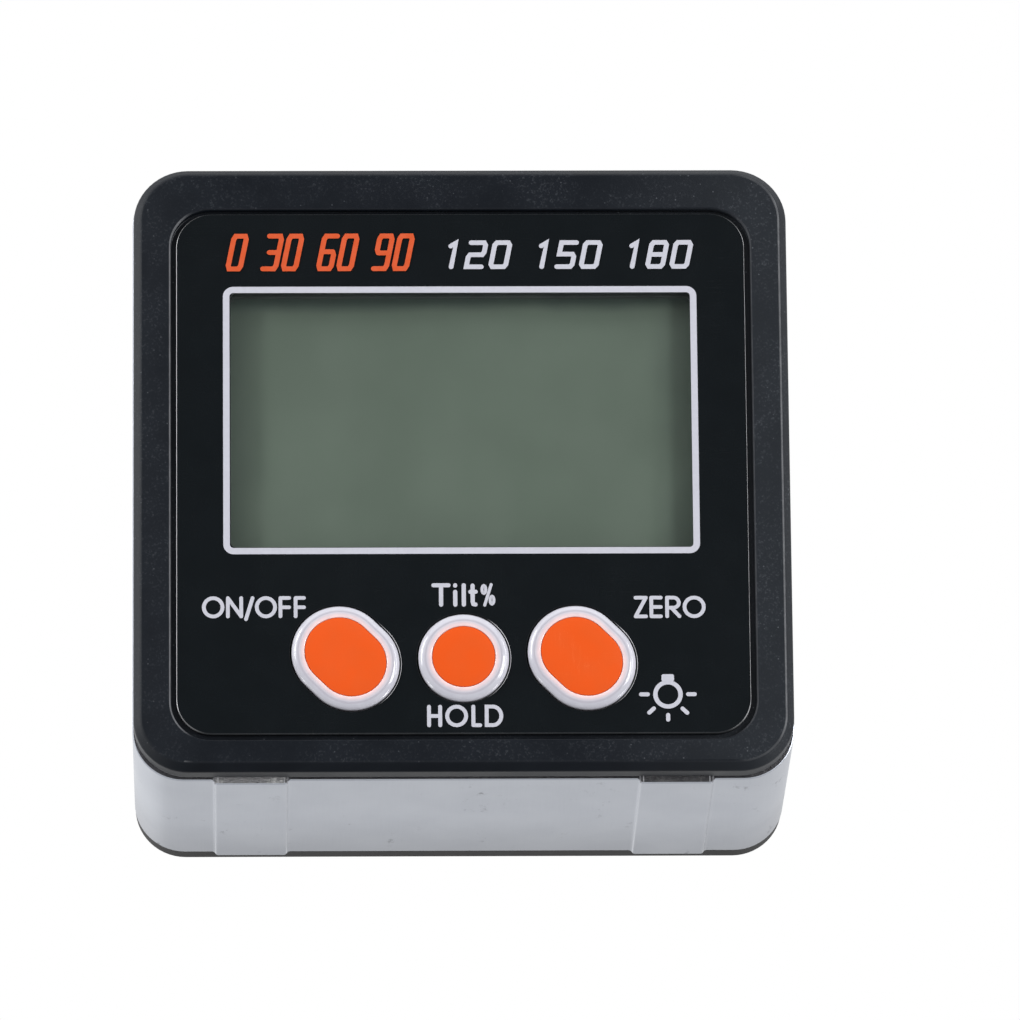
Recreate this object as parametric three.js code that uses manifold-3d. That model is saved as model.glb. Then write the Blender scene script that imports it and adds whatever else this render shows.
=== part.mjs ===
// Digital inclinometer: a square level box that stands on two pads.
// Millimetres, +Z up. The face looks towards -Y, and +X is on the right of someone reading it.
// Every piece is laid out from the centre of the face: x to the right, z up, and y as the
// depth behind the bezel's face plane. The last lines move the whole onto its base.

import * as THREE from 'three';
import { mergeVertices } from 'three/addons/utils/BufferGeometryUtils.js';
import Module from 'manifold-3d';

const wasm = await Module();
wasm.setup();

// Face and bezel
const faceWidth = 54.0;
const faceHeight = 51.85;
const faceCornerRadius = 4.0;
const edgeInset = 0.62;
const edgeRun = 0.75;
const bezelSide = 2.03;
const bezelPlate = 1.2;
const faceMarginSide = 2.43;
const faceMarginTop = 3.07;
const faceMarginBottom = 1.93;
const recessRadius = 3.3;
const lipWall = 1.0;
const lipReach = 1.5;
const lipClearance = 0.15;

// Printed sheet and window
const sheetThickness = 0.4;
const sheetSunk = 0.25;
const sheetSideGap = 0.48;
const sheetTopGap = 0.31;
const sheetBottomGap = 0.5;
const sheetRadius = 2.9;
const windowBandSide = 4.46;
const windowBandTop = 6.83;
const windowBandBottom = 15.98;
const windowRadius = 0.45;
const windowFlange = 1.0;
const windowFlangeThickness = 0.7;
const windowClearance = 0.05;

// Aluminium band with the base pads
const bandDepth = 21.6;
const bandProud = 0.1;
const bandWall = 2.2;
const bandFloor = 3.4;
const bandCornerRadius = 4.2;
const bandInnerRadius = 2.0;
const seam = 0.1;
const padWidth = 5.7;
const padHeight = 0.32;
const padSlope = 0.28;
const padInset = 9.7;
const magnetWidth = 5.0;
const magnetHeight = 2.4;
const magnetLength = 18.0;
const magnetClearance = 0.1;

// Back cover, battery tray and sliding door
const coverSide = 1.8;
const coverShy = 0.05;
const coverSeat = 1.5;
const trayWall = 1.0;
const trayEndWall = 0.8;
const trayClearance = 0.2;
const trayRibWidth = 1.2;
const trayRibHeight = 1.2;
const doorSkin = 1.1;
const doorTongue = 0.8;
const doorReach = 0.9;
const doorOverlap = 0.9;
const doorClearance = 0.15;
const doorLanding = 0.6;
const gripWidth = 0.8;
const gripDepth = 0.3;
const gripPitch = 1.8;
const gripCount = 5;
const gripInset = 3.0;

// Keys
const keySpacing = 9.66;
const keyRowUp = 6.46;
const keyProud = 0.5;
const roundKeyRadius = 3.72;
const roundInlayRadius = 2.57;
const ovalKeyRadius = 3.93;
const ovalInlayRadius = 2.84;
const ovalHalfLength = 0.7;
const keyShoulderInset = 0.85;
const keyShoulderRun = 0.45;
const inlayThickness = 0.3;
const inlayClearance = 0.05;
const keyClearance = 0.15;
const sheetKeyClearance = 0.12;
const keyEar = 0.6;
const keyEarWidth = 2.4;
const keyEarThickness = 0.8;
const keyStemRadius = 1.2;
const keyTravel = 0.4;

// Display stack
const lcdMarginSide = 1.5;
const lcdMarginEnd = 1.2;
const lcdLedge = 1.7;
const lcdGap = 0.05;
const glassThickness = 0.7;
const guideMarginSide = 0.3;
const guideMarginEnd = 0.5;
const guideThickness = 2.0;
const guideBackGap = 0.25;
const frameWall = 0.8;
const frameClearance = 0.1;
const frameSetBack = 0.3;
const connectorLength = 36.0;
const connectorGap = 0.2;

// Main board and what it carries
const boardThickness = 1.2;
const boardGap = 0.9;
const notchGap = 0.4;
const chipSize = 7.0;
const chipThickness = 1.0;
const sensorSize = 4.0;
const sensorThickness = 1.0;
const crystalLength = 5.0;
const crystalWidth = 3.2;
const crystalThickness = 1.1;
const capacitorRadius = 2.0;
const capacitorGap = 1.2;
const ledWidth = 1.25;
const ledLength = 2.8;
const ledHeight = 1.4;
const ledGap = 0.15;
const switchSize = 5.2;
const switchHeight = 1.5;
const plungerRadius = 1.0;
const plungerProud = 0.7;
const plungerTail = 0.4;
const plungerClearance = 0.15;

// Posts, bosses and screws
const postRadius = 1.5;
const postSink = 0.2;
const upperPostSpacing = 20.0;
const lowerPostGap = 2.0;
const boardScrewRadius = 0.7;
const boardScrewHeadRadius = 1.4;
const boardScrewHeadHeight = 0.9;
const boardScrewLength = 3.6;
const bossRadius = 2.3;
const bossGap = 0.3;
const bossReach = 7.2;
const coverBossRadius = 2.6;
const bossJointGap = 0.1;
const coverScrewRadius = 0.95;
const coverScrewHeadRadius = 1.75;
const coverScrewHeadHeight = 1.3;
const coverScrewLength = 9.0;
const screwClearance = 0.12;
const headClearance = 0.2;
const slotWidth = 0.5;
const slotDepth = 0.6;

// Cells, contacts and wires
const cellRadius = 5.25;
const cellGap = 0.5;
const cellClearance = 0.1;
const cellChamfer = 0.4;
const cellNubRadius = 1.9;
const cellNubLength = 0.9;
const contactThickness = 0.4;
const contactMargin = 0.7;
const contactGap = 0.1;
const contactTabWidth = 2.4;
const contactTabReach = 1.0;
const springLength = 2.4;
const springGap = 0.05;
const springWire = 0.35;
const springPlateRadius = 2.3;
const springCellRadius = 1.7;
const springTurns = 2.25;
const wireRadius = 0.45;
const wireGap = 0.3;
const wireLeadShare = 0.32;
const wireInset = 3.4;
const wireDrift = 1.5;

// Fineness of the round parts, and one overrun for every through cut
const cornerSteps = 3;
const keySteps = 8;
const shoulderSteps = 3;
const roundSides = 16;
const cellSides = 24;
const coilSteps = 8;
const coilSides = 6;
const wireSteps = 10;
const wireSides = 8;
const overrun = 1.0;

// Sizes that follow from those above
const bezelDepth = edgeRun + bezelSide;
const recessWidth = faceWidth - 2 * (edgeInset + faceMarginSide);
const recessTop = faceHeight / 2 - edgeInset - faceMarginTop;
const recessBottom = -faceHeight / 2 + edgeInset + faceMarginBottom;
const recessFloor = sheetSunk + sheetThickness;
const plateBack = recessFloor + bezelPlate;
const sheetWidth = recessWidth - 2 * sheetSideGap;
const sheetTop = recessTop - sheetTopGap;
const sheetBottom = recessBottom + sheetBottomGap;
const windowHalf = sheetWidth / 2 - windowBandSide;
const windowTop = sheetTop - windowBandTop;
const windowBottom = sheetBottom + windowBandBottom;

const bandFront = bezelDepth + seam;
const bandBack = bandFront + bandDepth;
const bandWidth = faceWidth + 2 * bandProud;
const bandHeight = faceHeight + 2 * bandProud;
const bandHalf = bandWidth / 2 - bandWall;
const bandInnerTop = bandHeight / 2 - bandWall;
const bandInnerBottom = -bandHeight / 2 + bandFloor;
const padX = bandWidth / 2 - padInset;
const lipHalf = bandHalf - lipClearance;
const lipTop = bandInnerTop - lipClearance;
const lipBottom = bandInnerBottom + lipClearance;

const coverFront = bandBack + seam;
const coverDepth = coverSide + edgeInset;
const totalDepth = coverFront + coverDepth;
const coverHalf = bandWidth / 2 - coverShy;
const doorInner = totalDepth - doorSkin - doorTongue;
const cellAxis = doorInner - cellClearance - cellRadius;
const trayFloor = cellAxis - cellRadius - cellClearance;
const trayFront = trayFloor - trayWall;
const trayZ = (bandInnerTop + bandInnerBottom) / 2;
const trayHalfHeight = 2 * (cellRadius + cellClearance) + cellGap / 2;
const trayOuterHalf = bandHalf - trayClearance;
const trayHalf = trayOuterHalf - trayEndWall;
const cellRise = cellRadius + cellGap / 2;
const contactFace = trayHalf - contactThickness;
const cellLength = 2 * contactFace - springLength - contactGap;

const glassFront = plateBack + lcdGap;
const glassMiddle = glassFront + glassThickness;
const glassBack = glassMiddle + glassThickness;
const guideFront = glassBack + lcdGap;
const guideBack = guideFront + guideThickness;
const boardFront = guideBack + guideBackGap;
const boardBack = boardFront + boardThickness;
const lcdHalf = windowHalf + lcdMarginSide;
const lcdTop = windowTop + lcdMarginEnd;
const lcdBottom = windowBottom - lcdMarginEnd;
const ledgeBottom = lcdBottom - lcdLedge;
const guideHalf = windowHalf - guideMarginSide;
const guideTop = windowTop + guideMarginEnd;
const guideBottom = windowBottom - guideMarginEnd;
const frameHalf = lcdHalf + frameClearance + frameWall;
const frameTop = lcdTop + frameClearance + frameWall;
const frameBottom = ledgeBottom - frameClearance - frameWall;

const keyZ = sheetBottom + keyRowUp;
const keyTop = sheetSunk - keyProud;
const earBack = plateBack + keyEarThickness;
const switchFront = boardFront - switchHeight;
const plungerFront = switchFront - plungerProud;

const bossX = bandHalf - coverBossRadius - bossGap;
const bossHigh = bandInnerTop - coverBossRadius - bossGap;
const bossLow = bandInnerBottom + coverBossRadius + bossGap;
const bossJoint = boardBack + bossReach;
const coverBossFront = bossJoint + bossJointGap;
const screwSeat = coverBossFront + coverSeat;

const keys = [
  { side: 'left', x: -keySpacing, radius: ovalKeyRadius, inlay: ovalInlayRadius, spread: ovalHalfLength },
  { side: 'middle', x: 0, radius: roundKeyRadius, inlay: roundInlayRadius, spread: 0 },
  { side: 'right', x: keySpacing, radius: ovalKeyRadius, inlay: ovalInlayRadius, spread: ovalHalfLength },
];
const corners = [
  { name: 'upper_left', x: -bossX, z: bossHigh },
  { name: 'upper_right', x: bossX, z: bossHigh },
  { name: 'lower_left', x: -bossX, z: bossLow },
  { name: 'lower_right', x: bossX, z: bossLow },
];
const upperPostZ = lipTop - lipWall - postRadius + postSink;
const lowerPostX = keySpacing + ovalKeyRadius + ovalHalfLength * Math.SQRT1_2 + lowerPostGap + postRadius;
const lowerPostZ = (frameBottom + bossLow + bossRadius) / 2;
const posts = [
  { name: 'upper_left', x: -upperPostSpacing / 2, z: upperPostZ },
  { name: 'upper_right', x: upperPostSpacing / 2, z: upperPostZ },
  { name: 'lower_left', x: -lowerPostX, z: lowerPostZ },
  { name: 'lower_right', x: lowerPostX, z: lowerPostZ },
];

// Materials
function paint(color, roughness, metalness = 0) {
  return new THREE.MeshStandardMaterial({ color, roughness, metalness });
}
const finish = {
  bezel: paint(0x2b2c30, 0.55),
  sheet: paint(0x16181c, 0.12),
  window: paint(0xc9d2cc, 0.05),
  glass: paint(0x64715f, 0.25),
  guide: paint(0xe8ece6, 0.3),
  white: paint(0xe6e6e2, 0.5),
  strip: paint(0xd8a7a0, 0.8),
  aluminium: paint(0xb4b7bf, 0.35, 0.9),
  cover: paint(0x2a2a2d, 0.6),
  keyRim: paint(0xd6d4de, 0.2),
  orange: paint(0xf3611f, 0.45),
  board: paint(0x1f6b3a, 0.5),
  chip: paint(0x17181a, 0.5),
  steel: paint(0xb9bcc0, 0.3, 0.9),
  nickel: paint(0xd0d2d4, 0.15, 1),
  cell: paint(0x3a4048, 0.35),
  red: paint(0xb3201a, 0.5),
  black: paint(0x1b1b1d, 0.5),
};

// Solids
function solidOf(geometry) {
  const bare = geometry.clone();
  bare.deleteAttribute('normal');
  bare.deleteAttribute('uv');
  const merged = mergeVertices(bare);
  return new wasm.Manifold(new wasm.Mesh({
    numProp: 3,
    vertProperties: Float32Array.from(merged.attributes.position.array),
    triVerts: Uint32Array.from(merged.index.array),
  }));
}

function joined(solids) {
  return solids.reduce((sum, next) => sum.add(next));
}

function cut(solid, tools) {
  return tools.reduce((rest, tool) => rest.subtract(tool), solid);
}

const part = new THREE.Group();

function addPiece(name, solid, material) {
  const mesh = solid.getMesh();
  const geometry = new THREE.BufferGeometry();
  const places = Float32Array.from(mesh.vertProperties);
  geometry.setAttribute('position', new THREE.BufferAttribute(places, 3));
  geometry.setIndex(new THREE.BufferAttribute(Uint32Array.from(mesh.triVerts), 1));
  geometry.computeVertexNormals();
  const piece = new THREE.Mesh(geometry, material);
  piece.name = name;
  part.add(piece);
}

// Outlines in the plane of the face
function roundedRect(left, right, bottom, top, radius) {
  const shape = new THREE.Shape();
  shape.absarc(right - radius, top - radius, radius, 0, Math.PI / 2);
  shape.absarc(left + radius, top - radius, radius, Math.PI / 2, Math.PI);
  shape.absarc(left + radius, bottom + radius, radius, Math.PI, 1.5 * Math.PI);
  shape.absarc(right - radius, bottom + radius, radius, 1.5 * Math.PI, 2 * Math.PI);
  return shape;
}

// A key seen from the front: a circle, or two half circles spread along the falling diagonal
function keyOutline(x, radius, spread) {
  const shift = spread * Math.SQRT1_2;
  const shape = new THREE.Shape();
  shape.absarc(x + shift, keyZ - shift, radius, -0.75 * Math.PI, 0.25 * Math.PI);
  shape.absarc(x - shift, keyZ + shift, radius, 0.25 * Math.PI, 1.25 * Math.PI);
  return shape;
}

// An outline carried from one depth to another
function slab(shape, front, back, steps = cornerSteps) {
  const settings = { depth: back - front, bevelEnabled: false, curveSegments: steps };
  const geometry = new THREE.ExtrudeGeometry(shape, settings);
  geometry.rotateX(Math.PI / 2);
  geometry.translate(0, back, 0);
  return solidOf(geometry);
}

function block(left, right, front, back, bottom, top) {
  const geometry = new THREE.BoxGeometry(right - left, back - front, top - bottom);
  geometry.translate((left + right) / 2, (front + back) / 2, (bottom + top) / 2);
  return solidOf(geometry);
}

function rod(x, z, radius, front, back, sides = roundSides) {
  const geometry = new THREE.CylinderGeometry(radius, radius, back - front, sides);
  geometry.translate(x, (front + back) / 2, z);
  return solidOf(geometry);
}

// A slab whose edge is eased at one end: one step gives a chamfer, more give a round
function easedSlab(shape, front, back, inset, run, easeSteps, steps, atBack = false) {
  const geometry = new THREE.ExtrudeGeometry(shape, {
    depth: back - front - run,
    bevelEnabled: true,
    bevelThickness: run,
    bevelSize: inset,
    bevelOffset: -inset,
    bevelSegments: easeSteps,
    curveSegments: steps,
  });
  geometry.rotateX(Math.PI / 2);
  geometry.translate(0, atBack ? back - run : back, 0);
  const reach = faceWidth;
  const spare = atBack
    ? block(-reach, reach, front - run - overrun, front, -reach, reach)
    : block(-reach, reach, back, back + run + overrun, -reach, reach);
  return solidOf(geometry).subtract(spare);
}

// Aluminium band: one section with the two pads, and a pocket for a magnet behind each pad
function bandSection() {
  const rise = bandHeight / 2;
  const arcX = bandWidth / 2 - bandCornerRadius;
  const arcZ = rise - bandCornerRadius;
  const shape = new THREE.Shape();
  shape.absarc(arcX, arcZ, bandCornerRadius, 0, Math.PI / 2);
  shape.absarc(-arcX, arcZ, bandCornerRadius, Math.PI / 2, Math.PI);
  shape.absarc(-arcX, -arcZ, bandCornerRadius, Math.PI, 1.5 * Math.PI);
  for (const x of [-padX, padX]) {
    shape.lineTo(x - padWidth / 2 - padSlope, -rise);
    shape.lineTo(x - padWidth / 2, -rise - padHeight);
    shape.lineTo(x + padWidth / 2, -rise - padHeight);
    shape.lineTo(x + padWidth / 2 + padSlope, -rise);
  }
  shape.absarc(arcX, -arcZ, bandCornerRadius, 1.5 * Math.PI, 2 * Math.PI);
  shape.holes.push(roundedRect(-bandHalf, bandHalf, bandInnerBottom, bandInnerTop, bandInnerRadius));
  return shape;
}

function makeBand() {
  const middle = (bandFront + bandBack) / 2;
  const pocketBottom = bandInnerBottom - magnetHeight;
  const pockets = [];
  for (const [side, x] of [['left', -padX], ['right', padX]]) {
    const half = magnetWidth / 2;
    const reach = magnetLength / 2;
    pockets.push(block(
      x - half - magnetClearance, x + half + magnetClearance,
      middle - reach - magnetClearance, middle + reach + magnetClearance,
      pocketBottom, bandInnerBottom + overrun,
    ));
    const bar = block(x - half, x + half, middle - reach, middle + reach, pocketBottom, bandInnerBottom);
    addPiece(`${side}_base_magnet`, bar, finish.nickel);
  }
  addPiece('housing_frame', cut(slab(bandSection(), bandFront, bandBack), pockets), finish.aluminium);
}

// Bezel: recessed face plate, locating lip, four long bosses, four board posts
function lipRing(front, back) {
  const outer = roundedRect(-lipHalf, lipHalf, lipBottom, lipTop, bandInnerRadius);
  outer.holes.push(roundedRect(
    -lipHalf + lipWall, lipHalf - lipWall, lipBottom + lipWall, lipTop - lipWall, bandInnerRadius / 2,
  ));
  return slab(outer, front, back);
}

function keySweep(key, clearance, front, back) {
  return slab(keyOutline(key.x, key.radius + clearance, key.spread), front, back, keySteps);
}

// The two ears behind a key, across its short diagonal, that stop it from falling out
function keyEars(key, clearance, front, back) {
  const reach = key.radius + keyEar + clearance;
  const half = keyEarWidth / 2 + clearance;
  const geometry = new THREE.BoxGeometry(2 * reach, back - front, 2 * half);
  geometry.rotateY(-Math.PI / 4);
  geometry.translate(key.x, (front + back) / 2, keyZ);
  return solidOf(geometry);
}

function makeBezel() {
  const half = faceWidth / 2;
  const rise = faceHeight / 2;
  const outline = roundedRect(-half, half, -rise, rise, faceCornerRadius);
  const recess = roundedRect(-recessWidth / 2, recessWidth / 2, recessBottom, recessTop, recessRadius);
  const hollow = roundedRect(
    -lipHalf + lipWall, lipHalf - lipWall, lipBottom + lipWall, lipTop - lipWall, bandInnerRadius / 2,
  );
  const flange = roundedRect(
    -windowHalf - windowFlange - windowClearance, windowHalf + windowFlange + windowClearance,
    windowBottom - windowFlange - windowClearance, windowTop + windowFlange + windowClearance,
    windowRadius + windowFlange,
  );
  const opening = roundedRect(-windowHalf, windowHalf, windowBottom, windowTop, windowRadius);

  const shell = cut(easedSlab(outline, 0, bezelDepth, edgeInset, edgeRun, 1, cornerSteps), [
    slab(recess, -overrun, recessFloor),
    slab(hollow, plateBack, bezelDepth + overrun),
  ]);
  const whole = joined([
    shell,
    lipRing(plateBack, bandFront + lipReach),
    ...corners.map((corner) => rod(corner.x, corner.z, bossRadius, plateBack, bossJoint)),
    ...posts.map((post) => rod(post.x, post.z, postRadius, plateBack, boardFront)),
  ]);
  addPiece('front_bezel', cut(whole, [
    slab(flange, recessFloor - overrun, recessFloor + windowFlangeThickness),
    slab(opening, recessFloor, plateBack + overrun),
    ...keys.map((key) => keySweep(key, keyClearance, 0, bandFront + lipReach + overrun)),
    ...keys.map((key) => keyEars(key, keyClearance, plateBack, bandFront + lipReach + overrun)),
    ...corners.map((corner) => rod(
      corner.x, corner.z, coverScrewRadius + screwClearance,
      screwSeat - coverScrewLength - overrun, bossJoint + overrun,
    )),
    ...posts.map((post) => rod(
      post.x, post.z, boardScrewRadius + screwClearance,
      boardBack - boardScrewLength - screwClearance, boardFront + overrun,
    )),
  ]), finish.bezel);
}

// Printed sheet in the recess, and the clear window that comes up flush with it
function makeFace() {
  const sheet = roundedRect(-sheetWidth / 2, sheetWidth / 2, sheetBottom, sheetTop, sheetRadius);
  const opening = roundedRect(-windowHalf, windowHalf, windowBottom, windowTop, windowRadius);
  addPiece('face_overlay', cut(slab(sheet, sheetSunk, recessFloor), [
    slab(opening, sheetSunk - overrun, recessFloor + overrun),
    ...keys.map((key) => keySweep(key, sheetKeyClearance, sheetSunk - overrun, recessFloor + overrun)),
  ]), finish.sheet);

  const land = roundedRect(
    -windowHalf + windowClearance, windowHalf - windowClearance,
    windowBottom + windowClearance, windowTop - windowClearance, windowRadius - windowClearance,
  );
  const flange = roundedRect(
    -windowHalf - windowFlange, windowHalf + windowFlange,
    windowBottom - windowFlange, windowTop + windowFlange, windowRadius + windowFlange,
  );
  addPiece('display_window', joined([
    slab(land, sheetSunk, recessFloor + windowFlangeThickness),
    slab(flange, recessFloor, recessFloor + windowFlangeThickness),
  ]), finish.window);
}

// Keys, each with its inlay, and the switch that it presses
function makeKeys() {
  for (const key of keys) {
    const outline = keyOutline(key.x, key.radius, key.spread);
    const inlay = keyOutline(key.x, key.inlay, key.spread);
    const pocket = keyOutline(key.x, key.inlay + inlayClearance, key.spread);
    const cap = joined([
      easedSlab(outline, keyTop, earBack, keyShoulderInset, keyShoulderRun, shoulderSteps, keySteps),
      keyEars(key, 0, plateBack, earBack),
      rod(key.x, keyZ, keyStemRadius, plateBack, plungerFront),
    ]);
    const inlayBack = keyTop + inlayThickness;
    const seat = slab(pocket, keyTop - overrun, inlayBack, keySteps);
    addPiece(`${key.side}_key_cap`, cap.subtract(seat), finish.keyRim);
    addPiece(`${key.side}_key_inlay`, slab(inlay, keyTop, inlayBack, keySteps), finish.orange);

    const half = switchSize / 2;
    const bore = rod(
      key.x, keyZ, plungerRadius + plungerClearance,
      switchFront - overrun, switchFront + plungerTail + keyTravel + plungerClearance,
    );
    const base = block(key.x - half, key.x + half, switchFront, boardFront, keyZ - half, keyZ + half);
    addPiece(`${key.side}_switch_base`, base.subtract(bore), finish.black);
    addPiece(
      `${key.side}_switch_plunger`,
      rod(key.x, keyZ, plungerRadius, plungerFront, switchFront + plungerTail),
      finish.white,
    );
  }
}

// Display: two glasses, light guide and lamp in a carrier, and the strip that joins it to the board
function makeDisplay() {
  const frontGlass = block(-lcdHalf, lcdHalf, glassFront, glassMiddle, ledgeBottom, lcdTop);
  const rearGlass = block(-lcdHalf, lcdHalf, glassMiddle, glassBack, lcdBottom, lcdTop);
  addPiece('lcd_front_glass', frontGlass, finish.glass);
  addPiece('lcd_rear_glass', rearGlass, finish.glass);
  addPiece(
    'backlight_guide',
    block(-guideHalf, guideHalf, guideFront, guideBack, guideBottom, guideTop),
    finish.guide,
  );

  const guideMiddle = (guideTop + guideBottom) / 2;
  const ledLeft = guideHalf + ledGap;
  addPiece('backlight_lamp', block(
    ledLeft, ledLeft + ledWidth, boardFront - ledHeight, boardFront,
    guideMiddle - ledLength / 2, guideMiddle + ledLength / 2,
  ), finish.white);

  const stripHalf = connectorLength / 2;
  const stripTop = lcdBottom - connectorGap;
  const stripBottom = ledgeBottom + connectorGap;
  addPiece(
    'lcd_connector',
    block(-stripHalf, stripHalf, glassMiddle, boardFront, stripBottom, stripTop),
    finish.strip,
  );

  const frameFront = glassFront + frameSetBack;
  const carrier = block(-frameHalf, frameHalf, frameFront, boardFront, frameBottom, frameTop);
  addPiece('lcd_frame', cut(carrier, [
    block(
      -lcdHalf - frameClearance, lcdHalf + frameClearance, frameFront - overrun, glassBack,
      ledgeBottom - frameClearance, lcdTop + frameClearance,
    ),
    block(
      -guideHalf - frameClearance, guideHalf + frameClearance, glassBack - overrun, boardFront + overrun,
      guideBottom - frameClearance, guideTop + frameClearance,
    ),
    block(
      -stripHalf - frameClearance, stripHalf + frameClearance, glassBack - overrun, boardFront + overrun,
      stripBottom - frameClearance, stripTop + frameClearance,
    ),
    block(
      guideHalf, ledLeft + ledWidth + frameClearance, boardFront - ledHeight - frameClearance,
      boardFront + overrun, guideMiddle - ledLength / 2 - frameClearance,
      guideMiddle + ledLength / 2 + frameClearance,
    ),
  ]), finish.white);
}

// Main board, notched round the corner bosses, its parts and its four screws
function makeBoard() {
  const half = bandHalf - boardGap;
  const top = bandInnerTop - boardGap;
  const bottom = bandInnerBottom + boardGap;
  const notch = bossRadius + notchGap;
  const back = boardBack + overrun;
  const front = boardFront - overrun;
  const board = cut(block(-half, half, boardFront, boardBack, bottom, top), [
    block(-half - overrun, -bossX + notch, front, back, bossHigh - notch, top + overrun),
    block(bossX - notch, half + overrun, front, back, bossHigh - notch, top + overrun),
    block(-half - overrun, -bossX + notch, front, back, bottom - overrun, bossLow + notch),
    block(bossX - notch, half + overrun, front, back, bottom - overrun, bossLow + notch),
    ...posts.map((post) => rod(post.x, post.z, boardScrewRadius + screwClearance, front, back)),
  ]);
  addPiece('main_board', board, finish.board);

  const chipX = -half / 3;
  const chipZ = top / 3;
  const chip = chipSize / 2;
  addPiece('controller_chip', block(
    chipX - chip, chipX + chip, boardBack, boardBack + chipThickness, chipZ - chip, chipZ + chip,
  ), finish.chip);
  const sensor = sensorSize / 2;
  addPiece('tilt_sensor', block(
    -sensor, sensor, boardBack, boardBack + sensorThickness, bottom / 3 - sensor, bottom / 3 + sensor,
  ), finish.chip);
  const crystalX = half / 4;
  addPiece('clock_crystal', block(
    crystalX - crystalLength / 2, crystalX + crystalLength / 2, boardBack, boardBack + crystalThickness,
    chipZ - crystalWidth / 2, chipZ + crystalWidth / 2,
  ), finish.nickel);
  addPiece(
    'power_capacitor',
    rod(half / 2, bottom / 3, capacitorRadius, boardBack, trayFront - capacitorGap),
    finish.steel,
  );

  const headBack = boardBack + boardScrewHeadHeight;
  for (const post of posts) {
    const screw = joined([
      rod(post.x, post.z, boardScrewRadius, boardBack - boardScrewLength, headBack, roundSides / 2),
      rod(post.x, post.z, boardScrewHeadRadius, boardBack, headBack),
    ]);
    addPiece(`${post.name}_board_screw`, screw, finish.steel);
  }
}

// Back cover: chamfered plate, lip, four screw tubes, battery tray, and the door's way out to the right
function coverPlate() {
  const rise = bandHeight / 2 - coverShy;
  const outline = roundedRect(-coverHalf, coverHalf, -rise, rise, bandCornerRadius);
  return easedSlab(outline, coverFront, totalDepth, edgeInset, edgeInset, 1, cornerSteps, true);
}

function doorProfile(clearance) {
  const skinHalf = trayHalfHeight + doorOverlap + clearance;
  const tongueHalf = skinHalf + doorReach;
  const left = -trayHalf - doorLanding - clearance;
  const right = coverHalf + overrun;
  const tongueFront = doorInner - (clearance > 0 ? contactGap : 0);
  const tongueBack = doorInner + doorTongue + (clearance > 0 ? contactGap : 0);
  return joined([
    block(left, right, tongueFront, totalDepth + overrun, trayZ - skinHalf, trayZ + skinHalf),
    block(left, right, tongueFront, tongueBack, trayZ - tongueHalf, trayZ + tongueHalf),
  ]);
}

function makeCover() {
  const trayTop = trayZ + trayHalfHeight;
  const trayBottom = trayZ - trayHalfHeight;
  const rootBack = coverFront + seam;
  const tabHalf = contactTabWidth / 2 + frameClearance;
  const slot = (side, z) => block(
    side > 0 ? contactFace - contactGap : -trayHalf,
    side > 0 ? trayHalf : -contactFace + contactGap,
    trayFront - overrun, trayFloor + overrun, z - tabHalf, z + tabHalf,
  );
  const whole = joined([
    coverPlate(),
    lipRing(bandBack - lipReach, rootBack),
    block(
      -trayOuterHalf, trayOuterHalf, trayFront, rootBack,
      trayBottom - trayWall, trayTop + trayWall,
    ),
    ...corners.map((corner) => rod(corner.x, corner.z, coverBossRadius, coverBossFront, rootBack)),
  ]);
  const hollow = cut(
    block(-trayHalf, trayHalf, trayFloor, totalDepth + overrun, trayBottom, trayTop),
    [block(
      -trayHalf, trayHalf, trayFloor - overrun, trayFloor + trayRibHeight,
      trayZ - trayRibWidth / 2, trayZ + trayRibWidth / 2,
    )],
  );
  addPiece('back_cover', cut(whole, [
    hollow,
    doorProfile(doorClearance),
    slot(1, trayZ + cellRise),
    slot(1, trayZ - cellRise),
    ...corners.map((corner) => rod(
      corner.x, corner.z, coverScrewHeadRadius + headClearance, screwSeat, totalDepth + overrun,
    )),
    ...corners.map((corner) => rod(
      corner.x, corner.z, coverScrewRadius + screwClearance,
      coverBossFront - overrun, screwSeat + overrun,
    )),
  ]), finish.cover);

  const grips = [];
  for (let index = 0; index < gripCount; index += 1) {
    const right = coverHalf - gripInset - index * gripPitch;
    grips.push(block(
      right - gripWidth, right, totalDepth - gripDepth, totalDepth + overrun,
      trayBottom, trayTop,
    ));
  }
  addPiece('battery_door', cut(doorProfile(0).intersect(coverPlate()), grips), finish.cover);

  for (const corner of corners) {
    const tip = screwSeat - coverScrewLength;
    const back = screwSeat + coverScrewHeadHeight;
    const arm = coverScrewHeadRadius * 2 / 3;
    const screw = cut(joined([
      rod(corner.x, corner.z, coverScrewRadius, tip, back, roundSides / 2),
      rod(corner.x, corner.z, coverScrewHeadRadius, screwSeat, back),
    ]), [
      block(
        corner.x - arm, corner.x + arm, back - slotDepth, back + overrun,
        corner.z - slotWidth / 2, corner.z + slotWidth / 2,
      ),
      block(
        corner.x - slotWidth / 2, corner.x + slotWidth / 2, back - slotDepth, back + overrun,
        corner.z - arm, corner.z + arm,
      ),
    ]);
    addPiece(`${corner.name}_cover_screw`, screw, finish.steel);
  }
}

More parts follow.
